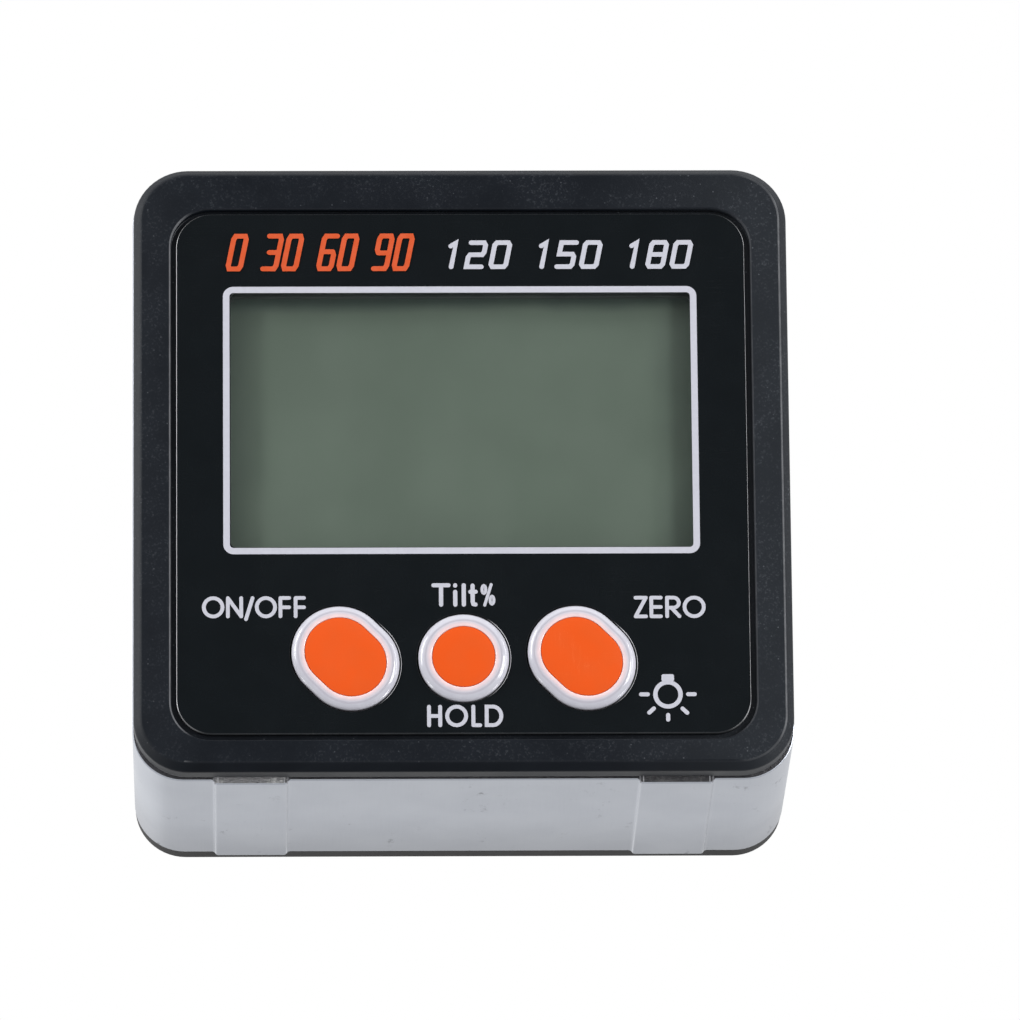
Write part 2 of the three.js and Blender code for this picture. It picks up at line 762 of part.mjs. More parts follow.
// Two cells in series: the upper one points right, the lower one left
function makeCells() {
  const body = cellLength - cellNubLength;
  const profile = [
    [0, 0],
    [cellRadius - cellChamfer, 0],
    [cellRadius, cellChamfer],
    [cellRadius, body - cellChamfer],
    [cellRadius - cellChamfer, body],
    [cellNubRadius, body],
    [cellNubRadius, cellLength],
    [0, cellLength],
  ].map(([across, along]) => new THREE.Vector2(across, along));
  for (const [name, way] of [['upper_battery_cell', 1], ['lower_battery_cell', -1]]) {
    const geometry = new THREE.LatheGeometry(profile, cellSides);
    geometry.rotateZ(-Math.PI / 2);
    geometry.translate(contactFace - contactGap - cellLength, 0, 0);
    if (way < 0) geometry.rotateZ(Math.PI);
    geometry.translate(0, cellAxis, trayZ + way * cellRise);
    addPiece(name, solidOf(geometry), finish.cell);
  }
}

// A contact spring: one unbroken wire that narrows from its plate to the cell
class ContactCoil extends THREE.Curve {
  constructor(start, end, way) {
    super();
    this.start = start;
    this.end = end;
    this.way = way;
  }

  getPoint(share, target = new THREE.Vector3()) {
    const angle = 2 * Math.PI * springTurns * share;
    const radius = springPlateRadius + (springCellRadius - springPlateRadius) * share;
    const along = this.start + (this.end - this.start) * share;
    return target.set(along * this.way, radius * Math.cos(angle), radius * Math.sin(angle));
  }
}

function tube(curve, radius, steps, sides) {
  const section = new THREE.Shape();
  section.absarc(0, 0, radius, 0, 2 * Math.PI);
  return new THREE.ExtrudeGeometry(section, { steps, extrudePath: curve, curveSegments: sides / 2 });
}

function leastCoilGap(curve, steps) {
  const points = curve.getSpacedPoints(steps);
  const turn = steps / springTurns;
  let least = Infinity;
  for (let first = 0; first <= steps; first += 1) {
    for (let second = Math.ceil(first + turn / 2); second <= steps; second += 1) {
      least = Math.min(least, points[first].distanceTo(points[second]) - springWire);
    }
  }
  return least;
}

function makeContacts() {
  const half = cellRadius - contactMargin;
  const back = doorInner - contactMargin;
  const upper = trayZ + cellRise;
  const lower = trayZ - cellRise;
  const bridge = block(
    -trayHalf, -contactFace, trayFloor + trayRibHeight + contactGap, back,
    lower - half, upper + half,
  );
  addPiece('bridge_contact', bridge, finish.nickel);
  for (const [name, z] of [['positive_contact', upper], ['negative_contact', lower]]) {
    addPiece(name, joined([
      block(contactFace, trayHalf, trayFloor, back, z - half, z + half),
      block(
        contactFace, trayHalf, trayFront - contactTabReach, trayFloor + contactTabReach,
        z - contactTabWidth / 2, z + contactTabWidth / 2,
      ),
    ]), finish.nickel);
  }

  const steps = Math.round(springTurns * coilSteps);
  const start = contactFace - springGap - springWire / 2;
  const end = contactFace - springLength + springGap + springWire / 2;
  const springs = [['upper_contact_spring', -1, upper], ['lower_contact_spring', 1, lower]];
  for (const [name, way, z] of springs) {
    const coil = new ContactCoil(start, end, way);
    const geometry = tube(coil, springWire / 2, steps, coilSides);
    geometry.translate(0, cellAxis, z);
    addPiece(name, solidOf(geometry), finish.steel);
    console.log(`${name}: least gap between turns ${leastCoilGap(coil, steps).toFixed(2)} mm`);
  }
}

// Two wires from the contact tabs to the back of the board
function makeWires() {
  const tabX = trayHalf - contactThickness / 2;
  const tabEnd = trayFront - contactTabReach - wireGap;
  const jointX = tabX - wireInset;
  const jointEnd = boardBack + wireGap;
  const lead = (tabEnd - jointEnd) * wireLeadShare;
  const wires = [['red_battery_wire', 1, finish.red], ['black_battery_wire', -1, finish.black]];
  for (const [name, way, material] of wires) {
    const z = trayZ + way * cellRise;
    const jointZ = z - way * wireDrift;
    const route = new THREE.CatmullRomCurve3([
      new THREE.Vector3(tabX, tabEnd, z),
      new THREE.Vector3(tabX, tabEnd - lead, z),
      new THREE.Vector3(jointX, jointEnd + lead, jointZ),
      new THREE.Vector3(jointX, jointEnd, jointZ),
    ]);
    addPiece(name, solidOf(tube(route, wireRadius, wireSteps, wireSides)), material);
  }
}

makeBand();
makeBezel();
makeFace();
makeKeys();
makeDisplay();
makeBoard();
makeCover();
makeCells();
makeContacts();
makeWires();

// The pads stand on z = 0, and y = 0 is halfway between the key tops and the back
part.position.set(0, -(keyTop + totalDepth) / 2, bandHeight / 2 + padHeight);

export default part;
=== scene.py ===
import itertools
import math

import bmesh
import bpy
from mathutils import Matrix, Vector


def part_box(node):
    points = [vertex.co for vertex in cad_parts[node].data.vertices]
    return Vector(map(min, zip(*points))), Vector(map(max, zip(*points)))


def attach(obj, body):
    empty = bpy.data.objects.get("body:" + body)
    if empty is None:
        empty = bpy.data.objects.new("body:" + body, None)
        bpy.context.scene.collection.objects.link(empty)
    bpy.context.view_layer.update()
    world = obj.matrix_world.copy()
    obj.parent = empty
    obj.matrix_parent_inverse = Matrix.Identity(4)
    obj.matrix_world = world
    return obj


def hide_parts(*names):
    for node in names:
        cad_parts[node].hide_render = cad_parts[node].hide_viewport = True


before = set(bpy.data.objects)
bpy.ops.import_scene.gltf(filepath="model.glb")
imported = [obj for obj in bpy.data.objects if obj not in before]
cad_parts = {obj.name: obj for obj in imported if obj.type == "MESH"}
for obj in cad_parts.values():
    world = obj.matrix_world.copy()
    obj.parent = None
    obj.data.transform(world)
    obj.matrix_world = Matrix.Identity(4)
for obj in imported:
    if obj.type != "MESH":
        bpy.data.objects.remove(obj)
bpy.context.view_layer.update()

mm = 0.001
bezelLow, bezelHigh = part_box("front_bezel")
faceFront = bezelLow.y                       # plane of the bezel's face
faceMiddle = (bezelLow.z + bezelHigh.z) / 2  # centre of the face above the base
corners = ("upper_left", "upper_right", "lower_left", "lower_right")


# Everything below is laid out from the centre of the face: x to the right, z up, depth behind the face, in mm
def at(x, depth, z):
    return Vector((x * mm, faceFront + depth * mm, faceMiddle + z * mm))


# The box of a node: left, right, front, back, bottom and top
def boxOf(node):
    starts = (0, faceFront, faceMiddle)
    return [(end - start) / mm for start, ends in zip(starts, zip(*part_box(node))) for end in ends]


def middleOf(node):
    left, right, front, back, bottom, top = boxOf(node)
    return (left + right) / 2, (bottom + top) / 2


# Camera, a little under the base and looking up at the face
shot = {"place": (-0.01816, -0.89700, -0.25296), "right": (0.99972, -0.02205, -0.00933),
        "up": (0.00235, -0.29769, 0.95466), "lens": 398.1, "near": 0.01, "far": 20}


def makeCamera():
    right = Vector(shot["right"]).normalized()
    up = Vector(shot["up"])
    up = (up - right * up.dot(right)).normalized()
    camera = bpy.data.objects.new("camera", bpy.data.cameras.new("camera"))
    camera.data.lens = shot["lens"]
    camera.data.sensor_width = 36
    camera.data.clip_start = shot["near"]
    camera.data.clip_end = shot["far"]
    turn = Matrix((right, up, right.cross(up))).transposed().to_4x4()
    camera.matrix_world = Matrix.Translation(shot["place"]) @ turn
    bpy.context.scene.collection.objects.link(camera)
    bpy.context.scene.camera = camera
    bpy.context.scene.view_settings.view_transform = "Standard"


makeCamera()
print("camera placed")


# A value in a node tree. Working with it as with a number makes the math nodes
class Value:
    def __init__(self, socket):
        self.socket = socket
        self.tree = socket.id_data

    def __add__(self, other):
        return worked("ADD", self, other)

    def __sub__(self, other):
        return worked("SUBTRACT", self, other)

    def __rsub__(self, other):
        return worked("SUBTRACT", other, self)

    def __mul__(self, other):
        return worked("MULTIPLY", self, other)

    def __truediv__(self, other):
        return worked("DIVIDE", self, other)

    def __abs__(self):
        return worked("ABSOLUTE", self)

    __radd__ = __add__

    # Soft step from low to high
    def spread(self, low, high, toLow=0.0, toHigh=1.0):
        return addNode(self.tree, "ShaderNodeMapRange", (self, low, high, toLow, toHigh),
                       interpolation_type="SMOOTHSTEP")


def feed(source, socket):
    if isinstance(source, Value):
        source.tree.links.new(source.socket, socket)
    elif isinstance(source, tuple) and len(source) < len(socket.default_value):
        socket.default_value = (*source, 1.0)
    else:
        socket.default_value = source


def addNode(tree, kind, inputs=(), output=0, **settings):
    node = tree.nodes.new(kind)
    for key, setting in settings.items():
        setattr(node, key, setting)
    for key, source in inputs.items() if isinstance(inputs, dict) else enumerate(inputs):
        feed(source, node.inputs[key])
    return Value(node.outputs[output]) if len(node.outputs) else None


def treeOf(*values):
    return next(value.tree for value in values if isinstance(value, Value))


def worked(operation, *values, clamp=False):
    return addNode(treeOf(*values), "ShaderNodeMath", values, operation=operation, use_clamp=clamp)


# A product kept between 0 and 1
def limited(first, second):
    return worked("MULTIPLY", first, second, clamp=True)


def largest(result, *others):
    for other in others:
        result = worked("MAXIMUM", result, other)
    return result


def mixed(share, first, second, blend="MIX"):
    return addNode(treeOf(share, first, second), "ShaderNodeMix", {0: share, 6: first, 7: second}, 2,
                   data_type="RGBA", blend_type=blend)


def tinted(tone, tint):
    return mixed(1.0, tone, tint, "MULTIPLY")


def scaled(tone, share):
    return tuple(part * share for part in tone)


def millimetres(tree, stretch=(1, 1, 1)):
    place = addNode(tree, "ShaderNodeTexCoord", output="Object")
    return addNode(tree, "ShaderNodeVectorMath", (place, scaled(stretch, 1 / mm)), operation="MULTIPLY")


def axisOf(vector, axis):
    return addNode(vector.tree, "ShaderNodeSeparateXYZ", (vector,), axis)


def coordinate(tree, axis):
    return axisOf(millimetres(tree), axis)


def depthIn(tree):
    return coordinate(tree, "Y") - faceFront / mm


def heightIn(tree):
    return coordinate(tree, "Z") - faceMiddle / mm


# A value that changes across the object, from a list of (x in mm, value)
def alongX(tree, marks):
    x = coordinate(tree, "X")
    return sum((x.spread(fromX, toX, 0.0, after - before)
                for (fromX, before), (toX, after) in zip(marks, marks[1:])), marks[0][1])


def noise(tree, scale, detail=2.0, roughness=0.5, stretch=(1, 1, 1), place=None):
    return addNode(tree, "ShaderNodeTexNoise", {"Vector": place or millimetres(tree, stretch), "Scale": scale,
                                                "Detail": detail, "Roughness": roughness}, "Fac")


# Soft patches, between 0 and most
def clouds(tree, scale, most=1.0):
    return noise(tree, scale, 3.0).spread(0.3, 0.7, 0.0, most)


# Round cells: how far it is to the nearest middle, and that cell's own number
def cellsIn(tree, scale):
    away = addNode(tree, "ShaderNodeTexVoronoi", {"Vector": millimetres(tree), "Scale": scale}, "Distance")
    return away, addNode(tree, "ShaderNodeSeparateColor", (Value(away.socket.node.outputs["Color"]),))


# Moulded grain: fine pits and bumps, with a few pale specks of dust caught in them
def mouldedGrain(tree, given):
    tone = given["Colour"]
    fine = noise(tree, given["Grain per mm"], 3.0, 0.6)
    broad = noise(tree, 0.22, 3.0, 0.55)
    away, chosen = cellsIn(tree, 1.9)
    speck = away.spread(0.07, 0.15, 1.0, 0.0) * chosen.spread(0.55, 0.95)
    haze = fine.spread(0.52, 0.74) * broad.spread(0.36, 0.66, 0.1, 0.75)
    shade = mixed(broad.spread(0.3, 0.7, 0.0, 0.8), tone, tinted(tone, (1.45, 1.42, 1.38)))
    return {"Colour": mixed(limited(speck + haze * 0.7, given["Dust"]), shade, given["Dust colour"]),
            "Roughness": given["Roughness"] + broad.spread(0.25, 0.75, -0.03, 0.03),
            "Height": fine + speck * 0.4}


# Wear: rubbed pale along an edge, broken up along its length
def edgeWear(tree, given):
    broad = noise(tree, 0.35, 3.0, 0.6).spread(0.35, 0.65)
    fine = noise(tree, 2.6, 4.0, 0.65).spread(0.38, 0.66)
    return {"Colour": mixed(limited(broad * fine, given["Amount"]), given["Colour"], given["Worn colour"])}


# Handling: hair scratches and soft finger smears on glossy pieces
def handlingMarks(tree, given):
    smear = noise(tree, 0.13, 4.0, 0.6, (1, 1, 0.6)).spread(0.35, 0.75)
    lines = []
    for stretch, scale in (((0.35, 1, 9.0), 0.8), ((6.0, 1, 0.25), 1.1)):
        thin = noise(tree, scale, 2.0, 0.4, stretch)
        gate = noise(tree, 0.18 + scale * 0.1, 1.0).spread(0.5, 0.7)
        lines.append(abs(thin - 0.5).spread(0.0, 0.008, 1.0, 0.0) * gate)
    scratch = limited(largest(*lines), given["Scratches"])
    return {"Roughness": given["Roughness"] + smear * given["Smear"] + scratch * 0.3,
            "Scratch": scratch, "Height": scratch * -1.0}


# Drawn metal: long faint lines along the depth, cloudy patches and small dark rub marks
def drawnLines(tree, given):
    tone = given["Colour"]
    lines = noise(tree, 9.0, 4.0, 0.65, (1.0, 0.02, 1.0))
    patches = noise(tree, 0.16, 3.0, 0.55)
    rub = noise(tree, 0.75, 5.0, 0.7, (1.0, 0.55, 1.0)).spread(0.6, 0.74)
    rub = limited(rub * noise(tree, 0.12, 1.0).spread(0.46, 0.6), given["Marks"])
    shade = mixed(patches.spread(0.3, 0.7, 0.0, 0.5), tone, tinted(tone, (0.93, 0.93, 0.94)))
    shade = mixed(lines.spread(0.35, 0.65) * given["Lines"], shade, tinted(tone, (1.05, 1.05, 1.05)))
    return {"Colour": mixed(rub * 0.6, shade, (0.16, 0.16, 0.17)),
            "Roughness": given["Roughness"] + patches.spread(0.3, 0.7, -0.015, 0.015) + rub * 0.15,
            "Height": lines * given["Lines"] + rub * -0.5}


# Fade from one tone to another near the sides of a rectangle in the plane of the face
def sideShade(tree, given):
    x, height = coordinate(tree, "X"), heightIn(tree)
    drift = (noise(tree, 0.11) - 0.5) * 1.4
    shades = []
    for side, distance in (("Left", x - given["Left"]), ("Right", given["Right"] - x),
                           ("Bottom", height - given["Bottom"]), ("Top", given["Top"] - height)):
        width = given[side + " width"]
        shades.append(((distance + drift * width) / width).spread(0.0, 1.6, 1.0, 0.0))
    return {"Mask": largest(*shades)}


# How far a point lies from the middle line of a key, in mm
def keyDistance(tree, given):
    side = coordinate(tree, "X") - given["Across"]
    rise = heightIn(tree) - given["Height"]
    off = (side + rise) * math.sqrt(0.5)
    past = largest(abs((side - rise) * math.sqrt(0.5)) - given["Half length"], 0.0)
    return {"Distance": worked("SQRT", past * past + off * off)}


def makeGroup(name, build, labels, inputs):
    group = bpy.data.node_groups.new(name, "ShaderNodeTree")

    def addSocket(label, way, isColour):
        kind = "NodeSocketColor" if isColour else "NodeSocketFloat"
        return group.interface.new_socket(name=label, in_out=way, socket_type=kind)

    for label, value in inputs.items():
        addSocket(label, "INPUT", isinstance(value, tuple)).default_value = value
    for label in labels:
        addSocket(label, "OUTPUT", label == "Colour")
    given = {socket.name: Value(socket) for socket in group.nodes.new("NodeGroupInput").outputs}
    out = group.nodes.new("NodeGroupOutput").inputs
    for label, value in build(group, given).items():
        feed(value, out[label])
    return group


plainTone = (0.02, 0.02, 0.02, 1)
surface = ("Colour", "Roughness", "Height")
groups = {
    "grain": makeGroup("Moulded grain", mouldedGrain, surface, {
        "Colour": plainTone, "Dust colour": (0.2, 0.2, 0.21, 1), "Grain per mm": 4.0, "Dust": 0.3,
        "Roughness": 0.5}),
    "wear": makeGroup("Edge wear", edgeWear, ("Colour",), {
        "Colour": plainTone, "Worn colour": (0.3, 0.3, 0.3, 1), "Amount": 0.5}),
    "handling": makeGroup("Handling marks", handlingMarks, ("Roughness", "Scratch", "Height"), {
        "Roughness": 0.15, "Smear": 0.1, "Scratches": 0.3}),
    "drawn": makeGroup("Drawn metal", drawnLines, surface, {
        "Colour": (0.55, 0.56, 0.6, 1), "Roughness": 0.35, "Lines": 0.5, "Marks": 0.5}),
    "side": makeGroup("Side shade", sideShade, ("Mask",), {
        "Left": -19.0, "Right": 19.0, "Bottom": -7.0, "Top": 15.0, "Left width": 2.0, "Right width": 2.0,
        "Bottom width": 0.5, "Top width": 1.0}),
    "key": makeGroup("Key distance", keyDistance, ("Distance",), {
        "Across": 0.0, "Height": 0.0, "Half length": 0.0}),
}
print("shader groups made")


# A material is its own Principled shader with plain numbers on it, and whatever the groups feed into it
class Finish:
    def __init__(self, name, tone, roughness, **plain):
        self.material = bpy.data.materials.new(name)
        self.material.use_nodes = True
        self.tree = self.material.node_tree
        self.shader = self.tree.nodes["Principled BSDF"]
        self.give(Base_Color=tone, Roughness=roughness, **plain)

    def give(self, **sources):
        for label, source in sources.items():
            feed(source, self.shader.inputs[label.replace("_", " ")])

    def use(self, group, **values):
        inputs = {label.replace("_", " "): value for label, value in values.items()}
        node = addNode(self.tree, "ShaderNodeGroup", inputs, node_tree=groups[group]).socket.node
        return {socket.name: Value(socket) for socket in node.outputs}

    def tone(self):
        socket = self.shader.inputs["Base Color"]
        return Value(socket.links[0].from_socket) if socket.is_linked else tuple(socket.default_value)

    # Colours over the one so far, each with its share
    def cover(self, *layers, blend="MIX"):
        for share, colour in layers:
            self.give(Base_Color=mixed(share, self.tone(), colour, blend))

    # A list of places along x paints an even thin highlight line there, a plain amount gives broken wear
    def wear(self, amount, wornAndLitTone):
        if isinstance(amount, list):
            uneven = noise(self.tree, 0.9, 3.0).spread(0.3, 0.7, 0.7, 1.0)
            self.cover((limited(alongX(self.tree, amount), uneven), wornAndLitTone))
        elif amount > 0:
            worn = self.use("wear", Colour=self.tone(), Worn_colour=wornAndLitTone, Amount=amount)
            self.give(Base_Color=worn["Colour"])

    # Handling marks in the roughness, and back come the scratches and their height
    def handle(self, roughness, smear, scratches):
        marks = self.use("handling", Roughness=roughness, Smear=smear, Scratches=scratches)
        self.give(Roughness=marks["Roughness"])
        return marks["Scratch"], marks["Height"]

    def bump(self, height, strength, distance):
        inputs = {"Strength": strength, "Distance": distance * mm, "Height": height}
        self.give(Normal=addNode(self.tree, "ShaderNodeBump", inputs))


def mouldedPlastic(name, tone, dustTone, roughness, grain=4.0, dust=0.3, worn=0.0,
                   wornAndLitTone=(0.25, 0.25, 0.26), depth=0.02, **plain):
    made = Finish(name, tone, roughness, **plain)
    if isinstance(dust, list):
        dust = alongX(made.tree, dust)
    # No dust, nor the painted sheen, lies on what looks down
    up = axisOf(addNode(made.tree, "ShaderNodeNewGeometry", output="Normal"), "Z").spread(-0.75, -0.3)
    out = made.use("grain", Colour=tone, Dust_colour=dustTone, Grain_per_mm=grain, Dust=up * dust,
                   Roughness=roughness)
    made.give(Base_Color=out["Colour"], Roughness=out["Roughness"])
    made.wear(worn, wornAndLitTone)
    made.bump(out["Height"], 0.35, depth)
    return made


def glossyPlastic(name, tone, roughness, smear=0.1, scratches=0.3, scratchTone=(0.3, 0.3, 0.3), worn=0.0,
                  wornAndLitTone=(0.3, 0.3, 0.31), **plain):
    made = Finish(name, tone, roughness, **plain)
    scratch, height = made.handle(roughness, smear, scratches)
    made.cover((clouds(made.tree, 0.3), scaled(tone, 1.12)), (scratch * 0.35, scratchTone))
    made.wear(worn, wornAndLitTone)
    made.bump(height, 0.2, 0.01)
    return made


def drawnMetal(name, tone, roughness, lines=0.5, marks=0.5, worn=0.0, wornAndLitTone=(0.85, 0.86, 0.88)):
    made = Finish(name, tone, roughness, Metallic=1.0)
    out = made.use("drawn", Colour=tone, Roughness=roughness, Lines=lines, Marks=marks)
    made.give(Base_Color=out["Colour"], Roughness=out["Roughness"])
    made.wear(worn, wornAndLitTone)
    made.bump(out["Height"], 0.3, 0.006)
    return made


# Points on part of a circle or an ellipse, between two angles
def arcPoints(x, z, radiusX, radiusZ, start, stop, steps):
    angles = [math.radians(start + (stop - start) * step / steps) for step in range(steps + 1)]
    return [(x + radiusX * math.cos(angle), z + radiusZ * math.sin(angle)) for angle in angles]


# A loop is a list of points (x, depth, z), and every loop of a loft has as many
def roundedLoop(left, right, bottom, top, radius, depth, steps):
    middles = ((right - radius, top - radius), (left + radius, top - radius),
               (left + radius, bottom + radius), (right - radius, bottom + radius))
    return [(x, depth, z) for turn, middle in enumerate(middles)
            for x, z in arcPoints(*middle, radius, radius, 90 * turn, 90 * turn + 90, steps)]


def keyLoop(key, radius, depth):
    shift = key["halfLength"] * math.sqrt(0.5)
    return [(x, depth, z) for way, start in ((1, -135), (-1, 45))
            for x, z in arcPoints(key["x"] + way * shift, keyRow - way * shift, radius, radius,
                                  start, start + 180, 28)]


# How far along an eased corner its curve starts, and where a further loop holds the flat beside it
easeReach = (1.0, 1.7)


# Stations are tuples of loop settings; each corner between two stations is eased by a short curve
def easedStations(stations, easings):
    result = []
    for index, (here, ease) in enumerate(zip(stations, easings)):
        if ease == 0:
            result.append(here)
            continue
        ends = []
        for other in (stations[index - 1], stations[(index + 1) % len(stations)]):
            reach = max(abs(a - b) for a, b in zip(here, other))
            for wide in easeReach:
                share = min(0.3 * wide, ease * wide / reach)
                ends.append(tuple(a + (b - a) * share for a, b in zip(here, other)))
        curve = [tuple((1 - share) ** 2 * a + 2 * share * (1 - share) * b + share ** 2 * c
                       for a, b, c in zip(ends[0], here, ends[2])) for share in (0, 1 / 3, 2 / 3, 1)]
        result += [ends[1], *curve, ends[3]]
    return result


# Faces between two rows of points, or between a row and a single point
def joinRows(mesh, first, second, paint=0):
    count = max(len(first), len(second))
    for index in range(count):
        after = (index + 1) % count
        places = ((first, index), (first, after), (second, after), (second, index))
        points = dict.fromkeys(row[place % len(row)] for row, place in places)
        mesh.faces.new(list(points)).material_index = paint


def loftInto(mesh, loops, closed=False):
    rows = [[mesh.verts.new(at(*point)) for point in loop] for loop in loops]
    for first, second in zip(rows, rows[1:] + rows[:closed]):
        joinRows(mesh, first, second)
    if not closed:
        mesh.faces.new(rows[0][::-1])
        mesh.faces.new(rows[-1])


# A rounded section carried through its stations
def sweepInto(mesh, stations, easings=None, closed=True, steps=14):
    stations = easedStations(stations, easings) if easings else stations
    loftInto(mesh, [roundedLoop(*station, steps) for station in stations], closed)


def blockInto(mesh, left, right, front, back, bottom, top, ease=0.0):
    if ease > 0:
        wide = (left, right, bottom, top, ease)
        small = (left + ease, right - ease, bottom + ease, top - ease, ease / 2)
        stations = [(*small, front), (*wide, front), (*wide, back), (*small, back)]
        sweepInto(mesh, stations, (0, ease, ease, 0), False, 3)
        return
    points = [mesh.verts.new(at(x, depth, z)) for depth in (front, back)
              for x, z in ((left, bottom), (right, bottom), (right, top), (left, top))]
    for face in ((0, 1, 2, 3), (7, 6, 5, 4), (0, 4, 5, 1), (1, 5, 6, 2), (2, 6, 7, 3), (3, 7, 4, 0)):
        mesh.faces.new([points[index] for index in face])


# A turned shape: rows of (radius, how far along), round a line along the depth at x, z unless a spot is given
def turnedInto(mesh, x, z, profile, sides=32, spot=None, paints=itertools.repeat(0)):
    spot = spot or (lambda across, up, along: at(x + across, along, z + up))
    rows = [[mesh.verts.new(spot(across, up, along))
             for across, up in arcPoints(0, 0, radius, radius, 0, 360, sides)[:sides if radius else 1]]
            for radius, along in profile]
    for first, second, paint in zip(rows, rows[1:], paints):
        joinRows(mesh, first, second, paint)


# A round wire along a row of points, with closed ends
def wireInto(mesh, points, radius, sides, paint=lambda share: 0):
    spots = [Vector(point) for point in points]
    side = (spots[1] - spots[0]).normalized().orthogonal()
    rows = []
    for index, point in enumerate(spots):
        along = (spots[min(index + 1, len(spots) - 1)] - spots[max(index - 1, 0)]).normalized()
        side = (side - along * side.dot(along)).normalized()
        other = along.cross(side)
        rows.append([mesh.verts.new(at(*(point + side * across + other * up)))
                     for across, up in arcPoints(0, 0, radius, radius, 0, 360, sides)[:sides]])
    for index, (first, second) in enumerate(zip(rows, rows[1:])):
        joinRows(mesh, first, second, paint(index / len(rows)))
    mesh.faces.new(rows[0][::-1]).material_index = paint(0)
    mesh.faces.new(rows[-1]).material_index = paint(1)


# A new object whose mesh is filled by a function. A closed shape has its faces turned outwards
def shape(name, fill, *finishes, angle=None, shut=True):
    mesh = bmesh.new()
    fill(mesh)
    if shut:
        bmesh.ops.recalc_face_normals(mesh, faces=mesh.faces)
    data = bpy.data.meshes.new(name)
    mesh.to_mesh(data)
    mesh.free()
    piece = bpy.data.objects.new(name, data)
    bpy.context.scene.collection.objects.link(piece)
    for made in finishes:
        data.materials.append(made.material)
    if angle:
        smoothed(piece, angle)
    return piece


def tool(fill):
    return shape("tool", fill)


def blockTool(box):
    return tool(lambda mesh: blockInto(mesh, *box))


def smoothed(piece, angle):
    piece.data.polygons.foreach_set("use_smooth", [True] * len(piece.data.polygons))
    piece.data.set_sharp_from_angle(angle=math.radians(angle))


def applyModifiers(piece):
    bpy.context.view_layer.update()
    old = piece.data
    settled = bpy.data.meshes.new_from_object(piece.evaluated_get(bpy.context.evaluated_depsgraph_get()))
    piece.modifiers.clear()
    piece.data = settled
    bpy.data.meshes.remove(old)


def combine(piece, others, operation):
    for other in others:
        modifier = piece.modifiers.new("combine", "BOOLEAN")
        modifier.operation = operation
        modifier.solver = "EXACT"
        modifier.object = other
    applyModifiers(piece)
    for other in others:
        bpy.data.objects.remove(other)


def easeEdges(piece, width, angle=40.0):
    modifier = piece.modifiers.new("ease", "BEVEL")
    modifier.width = width * mm
    modifier.segments = 2
    modifier.limit_method = "ANGLE"
    modifier.angle_limit = math.radians(angle)
    modifier.harden_normals = False
    applyModifiers(piece)


# The narrow faces along eased edges take the second material, and a cut front end takes the third
def paintEdges(piece, flat, edge, cut=None, widest=0.07):
    data = piece.data
    data.materials.clear()
    for made in filter(None, (flat, edge, cut)):
        data.materials.append(made.material)
    for polygon in data.polygons:
        points = [data.vertices[index].co for index in polygon.vertices]
        longest = max((a - b).length for a, b in zip(points, points[1:] + points[:1]))
        narrow = polygon.area < longest * widest * mm
        polygon.material_index = 1 if narrow else 2 if cut and polygon.normal.y < -0.95 else 0
    smoothed(piece, 30)


def place(piece, body, slotName, *nodes):
    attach(piece, body)
    if nodes:
        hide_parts(*nodes)


# Front bezel: one closed section carried round the face, then the key holes, bosses and posts
bezel = {
    "outer": (-27.0, 27.0, -25.925, 25.925, 4.5), "depth": 2.78, "edgeInset": 0.62, "edgeRun": 0.75,
    "recess": (-23.95, 23.95, -23.38, 22.24, 3.3), "floor": 0.65, "plateBack": 1.85,
    "window": (-19.01, 19.01, -6.9, 15.1, 0.45), "flange": (-20.06, 20.06, -7.95, 16.15, 1.45),
    "flangeBack": 1.35, "wallEnd": 2.2, "wallInset": 0.3, "edgeLine": (0.004, 0.09),
    "inside": (-25.0, 25.0, -24.2, 23.2), "lip": (-24.75, 24.75, -22.475, 23.675, 2.0), "lipWall": 1.0,
    "lipBack": 4.38, "easings": (0.05, 0.06, 0.12, 0.14, 0.16, 0.05, 0, 0, 0, 0, 0.1, 0.1, 0.1, 0),
    "keyGap": 0.15, "bore": 1.07, "boss": 2.3, "bossX": 22.0, "bossZ": (20.925, -19.725), "bossSink": 0.3,
    "bossBack": 14.0, "postBore": 0.82, "post": 1.5, "postSink": 0.2, "postBack": 5.6,
}
keyRow = -16.42
keys = [
    {"side": "left", "x": -9.66, "radius": 3.93, "inlay": 2.84, "halfLength": 0.7},
    {"side": "middle", "x": 0.0, "radius": 3.72, "inlay": 2.57, "halfLength": 0.0},
    {"side": "right", "x": 9.66, "radius": 3.93, "inlay": 2.84, "halfLength": 0.7},
]
bosses = [(x, z) for z in bezel["bossZ"] for x in (-bezel["bossX"], bezel["bossX"])]
beyond = 28.0  # past the back of the whole


def shrunk(rectangle, inset):
    left, right, bottom, top, radius = rectangle
    return (left + inset, right - inset, bottom + inset, top - inset, max(radius - inset, 0.3))


def keyTools(gap, back):
    def fill(mesh, key):
        loftInto(mesh, [keyLoop(key, key["radius"] + gap, depth) for depth in (-1.0, back)])

    return [tool(lambda mesh: fill(mesh, key)) for key in keys]


# The walls round the display, which stay visible from below, are paler than the face
def paintOpening(piece, rectangle, front, back):
    left, right, bottom, top, radius = rectangle
    low, high = at(left - 0.1, front, bottom - 0.1), at(right + 0.1, back, top + 0.1)
    piece.data.materials.append(finishes["opening"].material)
    for polygon in piece.data.polygons:
        if all(a < b < c for a, b, c in zip(low, polygon.center, high)):
            polygon.material_index = len(piece.data.materials) - 1


